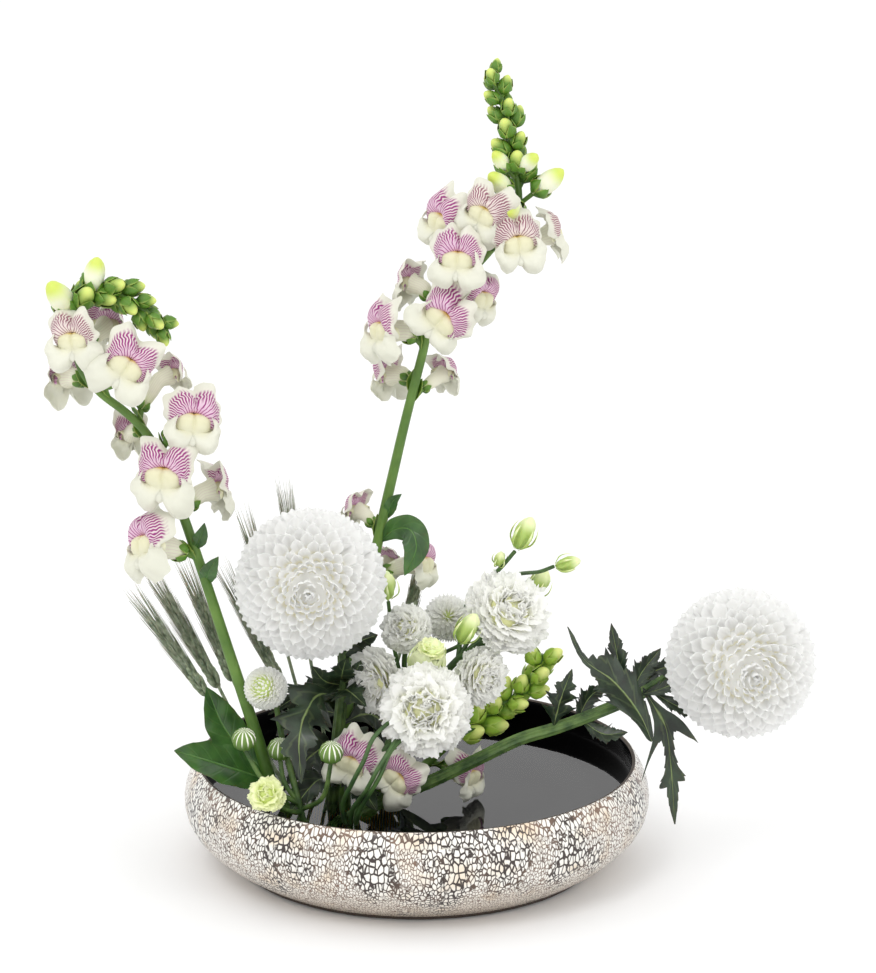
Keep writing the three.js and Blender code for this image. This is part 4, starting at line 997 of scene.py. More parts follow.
def floret_lip(rng):
    """Ahead, wide and high of the lower lip: two humps that close the mouth, a crease under them, and
    three hanging lobes, the middle one small."""
    spread = np.linspace(-1, 1, 65)[None]
    share = np.linspace(0, 1, 33)[:, None]
    phase = rng.uniform(0, TAU, 4)
    rise = np.clip(share / 0.45, 0, 1)
    fall = np.clip((share - 0.45) / 0.55, 0, 1)
    # from inside the mouth over the top of the humps to the crease
    middle = Path([(19, 3.5, 0), (24, 7.4, 0), (29.8, 6.4, 0), (32.6, 2, 0), (32.2, -2.6, 0), (30, -6, 0)])
    course = middle.at(rise[:, 0])
    half = np.interp(rise, [0, 0.3, 0.6, 0.85, 1], [10, 14, 16.5, 16.6, 16])
    pillow = (1 - np.abs(spread) ** 3.4) ** 0.85 * (0.93 + 0.07 * np.cos((np.abs(spread) - 0.42) * TAU * 0.8))
    groove = np.exp(-((spread / 0.09) ** 2)) * np.sin(math.pi * rise) ** 0.6
    ahead = 20 + (course[:, :1] - 20) * pillow - 1.4 * groove
    drop = 3.6 * np.abs(spread) ** 2.4 * np.clip(1.3 - 1.1 * rise, 0, 1)
    high = course[:, 1:2] - drop - 1.2 * groove * (1 - rise) + 3.6 * rise**2 * spread**2
    wide = spread * half
    # the lobes fan out from the crease
    turn = np.radians(110 * spread)
    crease = np.exp(-((fall / 0.06) ** 2))
    growth = np.where(spread < 0, *rng.uniform(0.88, 1.12, 2))
    edge = outline(np.abs(110 * spread), LIP_EDGE) * (1 + 0.05 * np.sin(turn * 7 + phase[0])) * growth
    edge = edge + (1 - growth) * 22 * np.exp(-((turn / 0.12) ** 2))
    wide = wide + (edge * np.sin(turn) - wide) * fall
    high = high + (1 - edge * np.cos(turn) - high) * fall
    lobe = np.exp(-(((np.abs(turn) - 0.58) / 0.42) ** 2))
    gap = np.exp(-((turn / 0.07) ** 2))
    swing = np.where(spread < 0, *rng.uniform(-0.2, 1.1, 2)) * np.clip(np.abs(turn) / 0.6, 0, 1)
    hangs = (fall > 0) * (28.6 - ahead) * np.clip(fall * 4, 0, 1)
    ahead = ahead + hangs + (2.6 + 2.6 * lobe) * np.sin(math.pi * np.clip(fall * 1.05, 0, 1)) ** 0.8
    ahead = ahead - (3.4 * gap * fall**0.5 + 6.5 * fall**2.6) + 9 * swing * fall**1.6
    high = high + 4 * swing * fall**1.8
    ahead = ahead + fall**2.4 * (1.2 * np.sin(turn * 8 + phase[1]) + 0.8 * np.sin(turn * 19 + phase[2]))
    return ahead - 0.7 * crease * (share > 0.3), wide, high


def floret_tongue():
    """Ahead, wide and high of the small middle lobe, which lies over the gap between the other two."""
    spread = np.linspace(-1, 1, 9)[None]
    share = np.linspace(0, 1, 9)[:, None]
    half = 3.6 * np.sqrt(np.clip(1 - (share * 1.02 - 0.3) ** 2 / 0.52, 0.02, 1))
    ahead = 28.6 + 3.2 * np.sin(share * 2.6) - 0.9 * spread**2 * share
    return ahead, spread * half, -6.5 - 9 * share


def floret(name, node, path, place, seed):
    """One open snapdragon flower."""
    rng = np.random.default_rng(seed)
    skin = Skin()
    skin.closed(floret_tube(path, place), 2)
    skin.blade(in_floret(place, *floret_hood(rng)), 0.55, 0)
    skin.blade(in_floret(place, *floret_lip(rng)), 0.55, 1)
    skin.low, skin.high = 0.5, 1
    skin.blade(in_floret(place, *floret_tongue()), 0.6, 1)
    skin.low, skin.high = 0, 1
    hood = PALE_HOOD if place.get("faded") else HOOD
    piece(skin.made(name, hood, PALATE, TUBE), "snapdragon_petal", node)


def calyx(skin, lines, path, place):
    """The flower stalk of a floret, the five sepals round its foot and the small leaf below it."""
    root, forward, _, _, size = floret_frame(place)
    foot = tube_foot(path, place)
    ahead = unit(root + forward * 8 * size - foot)
    stem = path.at(max(0, path.nearest(foot) - 0.012))
    lines.append(stalk([stem, (stem + foot) / 2 - UP * 0.8, foot + ahead * 0.8], 1.8, 2.2, 8))
    for out in ring(across(ahead), 5, 0.5):
        sepal(skin, foot, ahead, out, 9.5 * size + 1, 7.5 * size, 6.4 * size)
    growth = path.along(path.nearest(foot))
    out = unit(foot - stem + 0.001 * UP)
    base = stem - growth * 5 + out * 3
    leaf(skin, [base, base + out * 4 + growth * 5, base + out * 5.5 + growth * 14], 8.5, OVAL, face=-out,
         cup=0.35, rows=12, columns=7)


S = 23  # the cut ends stand this high, between the pins
TALL_PATH = [
    (-49, -27, S), (-49, -20, 91), (-45, -14, 132), (-36, -8, 180), (-23, -4, 242), (-14, -2, 282),
    (-7, 0, 312), (5, 0, 360), (11, 0, 386), (26, 0, 401), (52, 0, 430), (64, 0, 446), (68, 0, 460),
    (64, 0, 489), (60, 0, 515), (49, 0, 546),
]
LEFT_PATH = [
    (-74, -56, S), (-81, -58, 44), (-95, -60, 68), (-108, -62, 112), (-123, -63, 162), (-143, -60, 227),
    (-157, -55, 268), (-176, -50, 312), (-190, -48, 327), (-208, -46, 341), (-219, -46, 355),
    (-223, -47, 373), (-221, -48, 392), (-215, -50, 406), (-203, -52, 411), (-189, -54, 406),
    (-176, -55, 397), (-162, -56, 383),
]
LOW_PATH = [
    (-36, -46, S), (-21, -40, 55), (2, -30, 73), (23, -25, 91), (42, -22, 105), (57, -20, 116),
    (70, -20, 124), (80, -20, 136), (86, -20, 152),
]
TALL_FLORETS = [
    dict(face=(43, -32, 456), turn=-28, roll=22, size=0.8, faded=True),
    dict(face=(15, -12, 447), turn=-55, lift=5, roll=12, size=0.9),
    dict(face=(27, -42, 428), turn=-6, lift=4, roll=4, size=0.85),
    dict(face=(67, -36, 437), turn=14, lift=4, roll=-4, size=0.85, faded=True),
    dict(face=(93, 5, 437), turn=100, lift=18, size=0.72, faded=True),
    dict(face=(16, -34, 386), turn=-24, lift=-4, roll=42, size=0.95),
    dict(face=(44, -16, 396), turn=50, roll=12, size=0.8),
    dict(face=(-6, 12, 402), turn=-125, lift=12, size=0.7),
    dict(face=(-24, -14, 374), turn=-62, lift=6, roll=-6, size=0.9),
    dict(face=(-20, 22, 336), turn=-130, lift=-8, size=0.75),
    dict(face=(20, 22, 338), turn=140, lift=14, size=0.6),
    dict(face=(-42, 14, 244), turn=-135, lift=10, size=0.6),
    dict(face=(-20, 18, 206), turn=150, size=0.5),
    dict(face=(6, -4, 210), turn=62, lift=10, roll=8, size=0.75),
]
LEFT_FLORETS = [
    dict(face=(-179, -80, 245), turn=-58, lift=14, roll=-18),
    dict(face=(-165, -84, 292), turn=-14, lift=4, roll=4),
    dict(face=(-145, -73, 326), turn=16, lift=10, roll=10, size=0.95),
    dict(face=(-131, -34, 272), turn=120, lift=10, size=0.8),
    dict(face=(-188, -80, 365), turn=8, roll=34, size=0.95),
    dict(face=(-222, -78, 382), turn=-14, lift=4, roll=-6, size=0.8, faded=True),
    dict(face=(-204, -22, 380), turn=160, lift=8, size=0.75),
    dict(face=(-232, -22, 345), turn=-150, lift=-10, size=0.75),
    dict(face=(-190, -22, 305), turn=-165, lift=-30, size=0.6),
    dict(face=(-160, -24, 348), turn=125, lift=14, size=0.65),
]
LOW_FLORETS = [
    dict(face=(-44, -82, 94), turn=-24, lift=-2, roll=14, size=0.85),
    dict(face=(-14, -83, 84), turn=-20, lift=-4, roll=46, size=0.8),
    dict(face=(37, -42, 71), turn=55, lift=-6, roll=6, size=0.75),
]
SNAPDRAGONS = {
    "tall": dict(
        path=TALL_PATH, florets=TALL_FLORETS, radius=(4.6, 2), spiral=(0.862, 0.995, 17, 1.15, 0.85, 3),
        buds=[((68, -2, 458), (87, -6, 474), 14), ((66, -4, 452), (61, -20, 457), 18),
              ((66, -2, 462), (55, -12, 474), 12.5), ((65, -2, 478), (74, -12, 488), 10.5),
              ((65, -2, 476), (56, -8, 488), 10)],
        leaves=[([(-24, -6, 228), (-14, -12, 238), (-4, -18, 239), (0, -24, 229), (-8, -28, 210)], 19, OVAL,
                 (0, -0.9, 0.4)),
                ([(-20, -5, 244), (-16, -8, 256), (-10, -10, 262)], 9, NARROW, (0, -1, 0.3))]),
    "left": dict(
        path=LEFT_PATH, florets=LEFT_FLORETS, radius=(4.6, 2), spiral=(0.85, 0.99, 18, 1.25, 0.9, 5),
        buds=[((-222, -47, 390), (-231, -58, 407), 16), ((-213, -50, 404), (-209, -54, 421), 14)],
        leaves=[([(-100, -60, 76), (-128, -72, 90), (-161, -80, 104)], 35, OVAL, (0, -0.5, 0.8)),
                ([(-100, -60, 80), (-128, -52, 108), (-141, -48, 138)], 28, OVAL, (0.5, -0.8, 0.3)),
                ([(-140, -60, 214), (-136, -68, 226), (-130, -72, 236)], 12, NARROW, (0, -1, 0)),
                ([(-146, -60, 238), (-141, -66, 250), (-139, -68, 258)], 10, NARROW, (0, -1, 0))]),
    "short": dict(
        path=LOW_PATH, florets=LOW_FLORETS, radius=(4, 2), spiral=(0.56, 0.98, 17, 1.3, 1.0, 9), buds=[],
        skin=YOUNG_BUD,
        leaves=[([(40, -22, 104), (36, -34, 104), (26, -42, 97)], 9, NARROW, (0, 0, 1))]),
}


def snapdragon(key, parts, template):
    """One snapdragon without its open flowers: its stem, leaves and buds, and the green parts that its
    flowers stand in."""
    node = key + "_snapdragon"
    slot = "snapdragon_stem"
    path = Path(parts["path"])
    lines = [stalk(path, *parts["radius"], 90)]
    green = Skin()
    green.high = SEPAL_GREEN
    for place in parts["florets"]:
        calyx(green, lines, path, place)
    green.high = 1
    for root, middle, width in parts["buds"]:
        toward = np.array(middle, float) - np.array(root, float)
        lines.append(stalk([root, np.array(root) + toward * 0.5], 1.6, 1.6, 4))
        bud(green, root, middle, width)
    piece(green.made(node + "_buds_and_sepals", SNAP_BUD, BIG_BUD), slot, node)
    foliage = Skin()
    for rib, width, edge, face in parts["leaves"]:
        leaf(foliage, rib, width, edge, face)
    piece(foliage.made(node + "_leaves", SNAP_LEAF), slot, node)
    piece(stalks(node + "_stem", SNAP_STEM, lines, 14), slot, node)
    first, last, count, large, small, seed = parts["spiral"]
    made = grown(node + "_tip_buds", SPIRAL, [stalk(path, 2, 2, 60)], {
        "Piece": template, "Count": count, "From": first, "To": last, "Stand": 2.6 * MM, "Lean": 0.62,
        "Large": large, "Small": small, "Seed": seed, "Material": parts.get("skin", SNAP_BUD)})
    piece(made, slot, node)


def snapdragons():
    """The three snapdragons and their open flowers."""
    template = bud_template("snapdragon_bud_shape", SNAP_BUD)
    for key, parts in SNAPDRAGONS.items():
        snapdragon(key, parts, template)
    bpy.data.objects.remove(template)
    for key, node, seed in (("tall", "tall", 100), ("left", "left", 200), ("short", "low", 300)):
        path = Path(SNAPDRAGONS[key]["path"])
        for k, place in enumerate(SNAPDRAGONS[key]["florets"], 1):
            floret(f"{key}_snapdragon_flower_{k}", f"{node}_floret_{k}", path, place, seed + k)


# ------------------------------------------------------------------ chrysanthemums

RIGHT_POM_PATH = [
    (-58, -65, S), (-48, -63, 47), (-11, -62, 67), (9, -60, 75), (36, -56, 87), (70, -50, 102),
    (93, -46, 108), (124, -40, 118), (151, -30, 127), (178, -14, 138), (200, -11, 150), (207, -26, 153),
]
LEFT_POM_PATH = [
    (-60, -37, S), (-53, -35, 100), (-49, -31, 145), (-53, -18, 178), (-62, -10, 202), (-70, -28, 211),
]
POM_STEMS = {
    "right": dict(path=RIGHT_POM_PATH, radius=(4.2, 3.4), leaves=[
        ([(153, -31, 132), (161, -37, 120), (168, -40, 108), (172, -46, 80), (175, -50, 41)], 44, FINGERED,
         (0, -1, 0.1)),
        ([(158, -56, 102), (150, -54, 120), (133, -52, 142), (112, -56, 160), (101, -50, 181)], 30, DRAPED,
         (0.25, -0.8, 0.7)),
        ([(136, -36, 121), (137, -36, 142), (131, -32, 178)], 15, SPIKY, (0, -1, 0.2)),
        ([(144, -33, 123), (152, -20, 138), (166, -12, 154)], 17, SPIKY, (0, -1, 0.3)),
        ([(150, -26, 126), (164, -16, 140), (182, -16, 140)], 22, LOBED, (0, -1, 0.6)),
        ([(152, -34, 128), (168, -36, 134), (184, -40, 143)], 12, SPIKY, (0, -1, 0.3)),
        ([(92, -46, 106), (96, -52, 128), (104, -58, 154)], 22, LOBED, (0, -1, 0.2)),
        ([(108, -44, 112), (118, -30, 126), (130, -26, 132)], 16, SPIKY, (0, -1, 0.4)),
        ([(112, -42, 112), (126, -52, 106), (142, -54, 108)], 15, SPIKY, (0, -0.7, 0.7)),
        ([(160, -28, 128), (176, -34, 120), (196, -30, 112)], 12, SPIKY, (0, -0.9, 0.5))]),
    "left": dict(path=LEFT_POM_PATH, radius=(4, 3.4), leaves=[
        ([(-51, -33, 126), (-66, -54, 134), (-77, -86, 119), (-76, -100, 88)], 38, LOBED, (0, -1, 0.4)),
        ([(-51, -33, 130), (-72, -50, 136), (-99, -62, 123)], 20, LOBED, (0, -0.7, 0.7)),
        ([(-51, -33, 128), (-46, -56, 138), (-33, -74, 133)], 28, LOBED, (0, -0.7, 0.7)),
        ([(-50, -32, 138), (-50, -46, 146), (-47, -54, 160)], 22, SPIKY, (0, -1, 0.2)),
        ([(-50, -32, 134), (-62, -46, 142), (-70, -52, 154)], 18, SPIKY, (0, -1, 0.2)),
        ([(-50, -32, 134), (-42, -46, 146), (-37, -52, 158)], 18, SPIKY, (0, -1, 0.2)),
        ([(-51, -30, 152), (-42, -32, 163), (-26, -36, 171)], 20, SPIKY, (0, -1, 0.4)),
        ([(-50, -30, 112), (-70, -20, 112), (-96, -14, 92)], 36, LOBED, (0, -1, 0.5)),
        ([(-50, -28, 106), (-32, -16, 108), (-8, -10, 86)], 36, LOBED, (0, -1, 0.5)),
        ([(-52, -32, 86), (-66, -44, 92), (-88, -52, 70)], 32, LOBED, (0, -1, 0.4)),
        ([(-52, -32, 84), (-40, -36, 90), (-18, -44, 68)], 34, LOBED, (0, -1, 0.4)),
        ([(-53, -34, 66), (-44, -60, 80), (-26, -92, 66)], 22, OVAL, (0, -0.6, 0.8)),
        ([(-55, -34, 62), (-66, -60, 76), (-84, -84, 62)], 20, OVAL, (0, -0.6, 0.8)),
        ([(-50, -30, 120), (-52, -10, 128), (-54, 4, 100)], 40, LOBED, (0, -1, 0.3))]),
}


def scoop(name, material, length, width, curl, tube):
    """A petal grown along +Z that is hollow towards -X and closes in at its tip."""
    shares = np.linspace(0, 1, 8)[:, None]
    spread = np.linspace(-1, 1, 5)[None]
    half = width / 2 * np.interp(shares, [0, 0.45, 0.7, 0.85, 0.94, 1], [0.45, 0.86, 1, 0.9, 0.64, 0.2])
    bend = spread * tube
    points = np.stack([half * (np.cos(bend) - 1) / max(tube, 0.1) * 1.4 - curl * shares**3,
                       half * np.sin(bend) / math.sin(tube),
                       length * (shares - 0.06 * shares**6 * spread**2)], -1)
    skin = Skin()
    skin.blade(points, 0.45)
    return skin.made(name, material)


def petal_ball(name, node, bloom, material, scooped, values, heart):
    """A bloom of scooped petals that all point away from its middle, and the ball they stand on.
    `scooped` is the length, width, curl and tube of a petal. `heart` is the ball's name, material,
    radius, sides, steps and gap."""
    template = scoop(name + "_petal_shape", material, *scooped)
    place = set_in(bloom["centre"], facing(bloom["turn"], bloom["lift"]))
    made = grown(name, DOME, [], {
        "Petal": template, "Radius": bloom["radius"] * MM, "Length": scooped[0] * MM, "Material": material,
        **values}, place)
    bpy.data.objects.remove(template)
    piece(made, "chrysanthemum_petal", node)
    heart_name, heart_material, radius, sides, steps, gap = heart
    skin = Skin()
    skin.closed(lathe(ball(radius, steps, gap), sides))
    made = skin.made(heart_name, heart_material)
    made.data.transform(place)
    piece(made, "chrysanthemum_petal", node)


POMS = {
    "right": dict(centre=(217, -50, 156), turn=8, lift=4, radius=51.5),
    "left": dict(centre=(-70, -60, 214), turn=0, lift=6, radius=51.5),
}
CALYX_SCALES = 26
CALYX_DEPTH = 43  # from a bloom's middle back to where its green scales sit


def pom(key, bloom):
    """A pompon bloom and the green scales round the end of its stem."""
    petal_ball(key + "_pom_bloom", key + "_pom", bloom, POM_PETAL, (19, 9.8, 2.2, 1.0), {
        "Count": 400, "Reach": 1.9, "Crowd": 1.3, "Middle Lean": -0.12, "Edge Lean": 0.36, "Middle Size": 0.5,
        "Edge Size": 1.26, "Seed": 7}, (key + "_pom_heart", POM_PETAL, 36.5, 32, 16, 0.02))
    skin = Skin()
    ahead = facing(bloom["turn"], bloom["lift"])
    foot = np.array(bloom["centre"]) - ahead * CALYX_DEPTH
    for k, out in enumerate(ring(across(ahead), CALYX_SCALES)):
        outer = k % 2
        rib = [foot + out * 2, foot + out * 7 + ahead * (0.5 + outer),
               foot + out * (13 + 3 * outer) + ahead * (3 + outer)]
        leaf(skin, rib, 5.5, OVAL, face=-ahead, cup=0.2, rows=8, columns=5, thickness=0.9)
    piece(skin.made(key + "_pom_calyx", MUM_STEM), "chrysanthemum_leaf", key + "_pom_stem")


def pom_stem(key, parts):
    """The ridged stem of a pompon bloom with its lobed leaves."""
    node = key + "_pom_stem"
    made = stalks(node + "_stalk", MUM_STEM, [stalk(parts["path"], *parts["radius"], 70)], 42, 7, 0.16)
    piece(made, "chrysanthemum_leaf", node)
    foliage = Skin()
    for rib, width, edge, face in parts["leaves"]:
        lead = 0.42 if edge is FINGERED else 0.2
        leaf(foliage, rib, width, edge, face, cup=0.2, teeth=0.34, lead=lead, rows=84, columns=17)
    piece(foliage.made(node + "_leaves", MUM_LEAF), "chrysanthemum_leaf", node)


BUTTON = dict(centre=(-100, -72, 145), turn=-28, lift=25, radius=14.5)
REAR_MUM = dict(centre=(21, 0, 172), turn=12, lift=35, radius=17)
OPENING = dict(centre=(-98, -122, 88), turn=-10, lift=35, radius=12.5, seed=23)
STRIPED_BUDS = [(-114, -88, 115), (-91, -76, 104), (-56, -100, 110)]
STRIPED_BUD_RADIUS, STRIPED_BUD_LENGTH = 8.0, 14.6
STRIPED_BUD_SHAPE = [(0.2, 0), (0.6, 0.06), (0.88, 0.2), (1, 0.42), (0.97, 0.6), (0.8, 0.8), (0.5, 0.94),
                     (0.2, 0.985), (0.05, 0.96)]


def under(bloom):
    """The point at a small bloom's back where its stem ends."""
    return np.array(bloom["centre"]) - facing(bloom["turn"], bloom["lift"]) * (0.76 * bloom["radius"] + 0.7)


def chrysanthemums():
    """Two pompon blooms, the small spray blooms, their buds and their stems."""
    for key, bloom in POMS.items():
        pom(key, bloom)
    for key, parts in POM_STEMS.items():
        pom_stem(key, parts)
    petal_ball("button_mum_petals", "button_mum", BUTTON, QUILL_PETAL, (6.5, 3.4, 2.2, 0.8), {
        "Count": 260, "Reach": 1.6, "Crowd": 0.9, "Middle Lean": -0.3, "Edge Lean": 0.3, "Middle Size": 0.45,
        "Edge Size": 1.0, "Seed": 3},
        ("button_mum_heart", BUTTON_HEART, 0.62 * BUTTON["radius"], 24, 14, 0.03))
    petal_ball("rear_mum_petals", "rear_mum", REAR_MUM, QUILL_PETAL, (17, 3.6, 1.2, 0.8), {
        "Count": 150, "Reach": 1.3, "Middle Lean": 0.0, "Edge Lean": 0.3, "Middle Size": 0.5,
        "Edge Size": 1.1, "Seed": 3},
        ("rear_mum_heart", BUTTON_HEART, 0.3 * REAR_MUM["radius"], 24, 14, 0.03))
    ruffled_bloom("opening_mum_bloom", "opening_mum", "green_bud", GREEN_PETAL, OPENING, 14)
    rear = [stalk([(-32, -12, S), (-20, -6, 90), (8, 14, 140), under(REAR_MUM)], 2, 1.6)]
    piece(stalks("rear_mum_stalk", MUM_STEM, rear, 12, 5, 0.05), "spray_stem", "rear_mum_stem")
    spray = [
        stalk([(-70, -76, S), (-78, -80, 66), (-90, -66, 110), under(BUTTON)], 2.4, 1.8),
        stalk([(-78, -80, 66), (-100, -88, 84), (-114, -88, 108)], 1.7, 1.5),
        stalk([(-78, -80, 66), (-88, -80, 82), (-91, -76, 98)], 1.7, 1.5),
        stalk([(-77, -79, 62), (-62, -94, 76), (-56, -99, 103)], 1.8, 1.5),
        stalk([(-77, -79, 60), (-86, -102, 70), under(OPENING)], 1.8, 1.6),
    ]
    piece(stalks("spray_mum_stalk", MUM_STEM, spray, 12, 5, 0.05), "spray_stem", "spray_mum_stem")
    buds = Skin()
    direction = unit(np.array([0, -0.3, 1]))
    profile = np.array(STRIPED_BUD_SHAPE) * (STRIPED_BUD_RADIUS, STRIPED_BUD_LENGTH)
    for centre in STRIPED_BUDS:
        foot = np.array(centre) - direction * 7.4
        buds.closed(turned_round(profile, foot, direction, 48, 0.05, 12))
    piece(buds.made("striped_mum_buds", STRIPED_BUD), "spray_stem", "spray_mum_stem")


# ------------------------------------------------------------------ lisianthus

LISIANTHUS = {
    "front": dict(centre=(6, -86, 134), turn=-4, lift=18, radius=30, seed=11),
    "right": dict(centre=(61, -30, 184), turn=30, lift=40, radius=29, seed=12),
    "upper_left": dict(centre=(-7, -30, 173), turn=-20, lift=35, radius=17, seed=13),
    "lower_right": dict(centre=(43, -46, 145), turn=40, lift=5, radius=20, seed=14),
    "left": dict(centre=(-26, -46, 142), turn=-45, lift=0, radius=23, seed=15),
}


HEART = 0.54  # radius of the ball inside a double bloom, as a share of the bloom's own


def ruffled_bloom(name, node, slot, material, bloom, count=36):
    """A double bloom: petals with finely ruffled edges, each leaning further out than the last."""
    rng = np.random.default_rng(bloom["seed"])
    forward = facing(bloom["turn"], bloom["lift"])
    side, up = across(forward)
    radius, centre = bloom["radius"], np.array(bloom["centre"], float)
    rows, columns = (16, 47) if bloom["radius"] > 25 else (13, 31)
    share = np.linspace(0, 1, rows)[:, None]
    spread = np.linspace(-1, 1, columns)[None]
    skin = Skin()
    for k in range(count):
        lean = math.acos(1 - 1.12 * ((k + 0.2) / count) ** 1.25)
        turn = k * GOLDEN_ANGLE + rng.uniform(-0.2, 0.2)
        out = side * math.cos(turn) + up * math.sin(turn)
        round_it = np.cross(forward, out)
        phase = rng.uniform(0, TAU, 5)
        walk = share * (1 - 0.2 * np.abs(spread) ** 3 - 0.07 * np.abs((spread * 8 + phase[4]) % 1 - 0.5))
        end = (0.96 + rng.uniform(-0.06, 0.04)) * np.array([math.sin(lean), 0.82 * math.cos(lean) + 0.02])
        fold = max(0, 1 - lean / 0.7)  # the inner petals fold over the middle
        away = 0.02 + (end[0] - 0.02) * walk**1.2 + 0.1 * walk**6
        away = away * (1 - fold) + fold * 0.24 * np.sin(2.9 * walk)
        ahead = -0.6 + (end[1] + 0.6 - 0.1 * fold) * walk**0.85 - 0.1 * walk**6 * math.sin(lean)
        half = (0.16 + 0.42 * walk**0.8) * (0.75 + 0.5 * math.sin(lean))
        ruffle = walk**2.2 * (0.085 * np.sin(spread * 6.5 + phase[0]) + 0.06 * np.sin(spread * 13 + phase[1])
                              + 0.032 * np.sin(spread * 27 + phase[2])
                              + 0.02 * walk**2 * np.sin(spread * 41 + phase[3]))
        curl = -0.55 * (spread * half) ** 2 / max(0.35, math.sin(lean)) * (0.35 + 0.65 * walk)
        flow = math.cos(lean)
        away, ahead = away + (ruffle + curl) * (0.35 + 0.65 * flow), ahead + ruffle * (1.1 - flow)
        points = centre + radius * (ahead[..., None] * forward + away[..., None] * out
                                    + (spread * half + 0.3 * ruffle)[..., None] * round_it)
        skin.blade(points, 0.5)
    skin.high = 0.5  # a ball of the petals' own yellow-green foot closes the hollows between them
    skin.closed(turned_round(ball(HEART * radius, 12), centre - forward * 0.06 * radius, forward, 24))
    piece(skin.made(name, material), slot, node)


def lisianthus_buds(name, node, buds):
    """Twisted lisianthus buds with thin pointed sepals."""
    skin = Skin()
    for root, middle, width in buds:
        root, middle = np.array(root, float), np.array(middle, float)
        direction = unit(middle - root)
        foot = middle - direction * width * 0.8
        skin.closed(turned_round(bud_profile(width * 0.9, width * 1.75), foot, direction, 40, 0.12, 5, 1.8))
        for out in ring(across(direction), 5):
            sepal(skin, foot, direction, out, width * 1.3, width * 0.16, width * 0.56)
    piece(skin.made(name, SPRAY_BUD), "spray_stem", node)


def lisianthus_sprays():
    """The lisianthus blooms on their two branching stems."""
    for key, bloom in LISIANTHUS.items():
        node = "lisianthus_" + key
        ruffled_bloom(node + "_bloom", node, "lisianthus_petal", LISIANTHUS_PETAL, bloom)
    front, left = under(LISIANTHUS["front"]), under(LISIANTHUS["left"])
    fork = [(-40, -78, 56), (-33, -72, 80)]
    lines = [
        stalk([(-45, -76, S), (-40, -78, 56), (-28, -82, 98), (-4, -66, 116), front], 2.2, 1.8),
        stalk(fork + [(-10, -54, 112), (4, -54, 150)], 1.8, 1.5),
        stalk(fork + [(-14, -44, 112), left], 1.8, 1.5),
        # three more stems bow forward over the low florets
        stalk([(-44, -77, 40), (-49, -90, 68), (-42, -104, 90), (-34, -110, 108), (-28, -107, 122),
               (-8, -84, 134)], 1.7, 1.4),
        stalk([(-43, -77, 42), (-43, -90, 64), (-33, -106, 85), (-24, -112, 104), (-8, -90, 124)], 1.7, 1.4),
        stalk([(-42, -77, 44), (-37, -96, 68), (-24, -110, 96), (-16, -102, 112), (-2, -90, 122)], 1.6, 1.4),
    ]
    piece(stalks("lisianthus_front_stalk", SPRAY_STEM, lines, 12), "spray_stem", "lisianthus_stem_front")
    lisianthus_buds("lisianthus_half_open_bud", "lisianthus_stem_front", [((4, -54, 148), (8, -60, 161), 20)])
    tuft = dict(centre=(10, -66, 170), turn=20, lift=60, radius=9.5, seed=17)
    ruffled_bloom("lisianthus_half_open_tuft", "lisianthus_stem_front", "spray_stem", GREEN_PETAL, tuft, 12)
    cup = Skin()
    foot, growth = np.array([3, -55, 147.0]), unit(np.array([0.28, -0.38, 0.88]))
    for k, out in enumerate(ring(across(growth), 7)):  # broad pale petals, each half over the next
        petal_length = 27 - 3 * (k % 2)
        rib = [foot + growth * petal_length * along + out * 12 * away
               for along, away in ((0, 0.2), (0.25, 0.86), (0.6, 1.05), (0.85, 0.94), (1, 0.72))]
        leaf(cup, rib, 17, OVAL_BLUNT, face=out, cup=-0.5, thickness=0.6, rows=20, columns=11)
    piece(cup.made("lisianthus_half_open_petals", CUP_PETAL), "spray_stem", "lisianthus_stem_front")
    lines = [
        stalk([(-31, -28, S), (-12, -24, 88), (8, -18, 122), (28, -12, 146), (46, -16, 160),
               under(LISIANTHUS["right"])], 3, 2.4),
        stalk([(-12, -24, 88), (-8, -12, 120), (-8, -14, 150), under(LISIANTHUS["upper_left"])], 2.2, 1.8),
        stalk([(8, -18, 122), (20, -26, 136), under(LISIANTHUS["lower_right"])], 2, 1.6),
        stalk([(28, -12, 146), (34, 2, 180), (58, -18, 214), (66, -25, 226)], 1.8, 1.4),
        stalk([(28, -12, 146), (60, 6, 196), (84, -24, 212), (92, -30, 217)], 1.6, 1.3),
        stalk([(28, -12, 146), (64, 4, 176), (80, -6, 190)], 1.5, 1.2),
        stalk([(8, -18, 122), (12, -28, 150), (28, -48, 167)], 1.6, 1.3),
        stalk([(-8, -12, 120), (-16, -16, 160), (-19, -22, 190)], 1.6, 1.3),
    ]
    piece(stalks("lisianthus_rear_stalk", SPRAY_STEM, lines, 12), "spray_stem", "lisianthus_stem_rear")
    lisianthus_buds("lisianthus_closed_buds", "lisianthus_stem_rear", [
        ((65, -24, 223), (72, -25, 238), 14), ((90, -29, 216), (101, -30, 219), 10),
        ((78, -5, 188), (83, -8, 198), 13), ((27, -47, 166), (34, -50, 179), 14),
        ((54, -14, 210), (56, -20, 219), 8), ((-19, -22, 189), (-20, -26, 202), 13)])


# ------------------------------------------------------------------ barley

BARLEY = [
    ([(-82, -32, S), (-112, -26, 70), (-142, -20, 122)], (-197, -18, 204)),
    ([(-76, -26, S), (-108, -14, 70), (-135, -2, 122)], (-186, 6, 212)),
    ([(-70, -20, S), (-100, -6, 70), (-126, 12, 122)], (-164, 24, 214)),
    ([(-66, -12, S), (-78, 4, 70), (-92, 14, 116)], (-138, 20, 212)),
    ([(-60, -20, S), (-74, 14, 80), (-92, 30, 146)], (-122, 34, 246)),
    ([(-52, -12, S), (-66, 20, 90), (-80, 36, 168)], (-92, 42, 262)),
    ([(-42, -9, S), (-26, 8, 90), (-10, 16, 148)], (4, 12, 212)),
]
HEAD_SHARE = 0.62  # the grains take this share of the way from the straw's end to the awns' tips


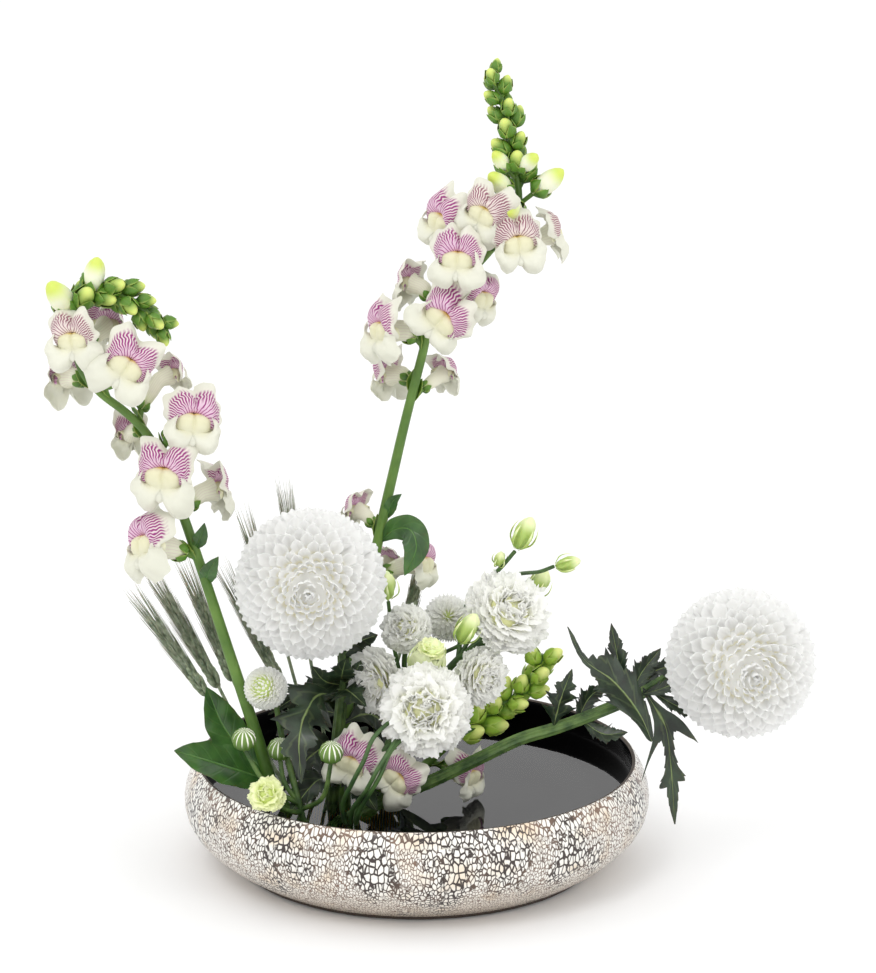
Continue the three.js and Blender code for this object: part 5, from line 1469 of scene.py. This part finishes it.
def grain_template():
    """A barley grain, 9 mm long."""
    skin = Skin()
    skin.closed(lathe([(0.4, 0), (1.5, 2), (1.7, 4.5), (1.1, 7.5), (0.2, 9)], 6))
    return skin.made("grain_shape", EAR)


def awn_template(length):
    """A barley awn: a long fine bristle."""
    skin = Skin()
    skin.closed(lathe([(0.3, 0), (0.26, length * 0.5), (0.07, length)], 4))
    return skin.made("awn_shape", AWN)


def barley():
    """Seven bearded ears of barley on their straws."""
    grain = grain_template()
    for k, (straw, tip) in enumerate(BARLEY):
        name, node = f"barley_ear_{k + 1}", f"barley_{k + 1}"
        end, tip = np.array(straw[-1], float), np.array(tip, float)
        top = end + (tip - end) * HEAD_SHARE
        lines = [stalk(straw, 1.5, 1.2), stalk([end, (end + top) / 2, top], 1.2, 0.8)]
        piece(stalks(name + "_straw", EAR, lines, 8), "barley", node)
        head = stalk([end, (end + top) / 2, top], 1, 1)
        made = grown(name + "_grains", SPIRAL, [head], {
            "Piece": grain, "Count": 72, "From": 0.0, "To": 0.97, "Turn": TAU / 6 + 0.3, "Stand": 1.4 * MM,
            "Lean": 0.34, "Large": 1.0, "Small": 0.75, "Seed": 31 + k, "Material": EAR})
        piece(made, "barley", node)
        reach = float(np.linalg.norm(tip - top))
        awn = awn_template(reach)
        made = grown(name + "_awns", SPIRAL, [head], {
            "Piece": awn, "Count": 96, "From": 0.05, "To": 1.0, "Turn": TAU / 6 + 0.3, "Stand": 2.4 * MM,
            "Lean": 0.09, "Large": 1.1, "Small": 0.92, "Seed": 71 + k, "Material": AWN})
        bpy.data.objects.remove(awn)
        piece(made, "barley", node)
    bpy.data.objects.remove(grain)


# ------------------------------------------------------------------ the scene


def stage():
    """A plain pale floor under soft light."""
    mesh = bpy.data.meshes.new("floor")
    mesh.from_pydata([(-12, -8, 0), (12, -8, 0), (12, 14, 0), (-12, 14, 0)], [], [(0, 1, 2, 3)])
    mesh.materials.append(surface("pale_floor", "F4F4F4", Roughness=0.9)[0])
    placed("floor", mesh)
    world = bpy.data.worlds.new("soft_white_room")
    world.use_nodes = True
    world.node_tree.nodes["Background"].inputs[0].default_value = (1, 1, 1, 1)
    world.node_tree.nodes["Background"].inputs[1].default_value = 1.15
    bpy.context.scene.world = world
    bpy.context.scene.view_settings.view_transform = "Standard"
    lamp("key", (-1.0, -1.8, 2.4), 1.0, 15)
    lamp("fill", (1.8, -1.6, 1.4), 1.4, 6.5)


bowl()
water()
pin_holder()
snapdragons()
chrysanthemums()
lisianthus_sprays()
barley()
stage()
camera()
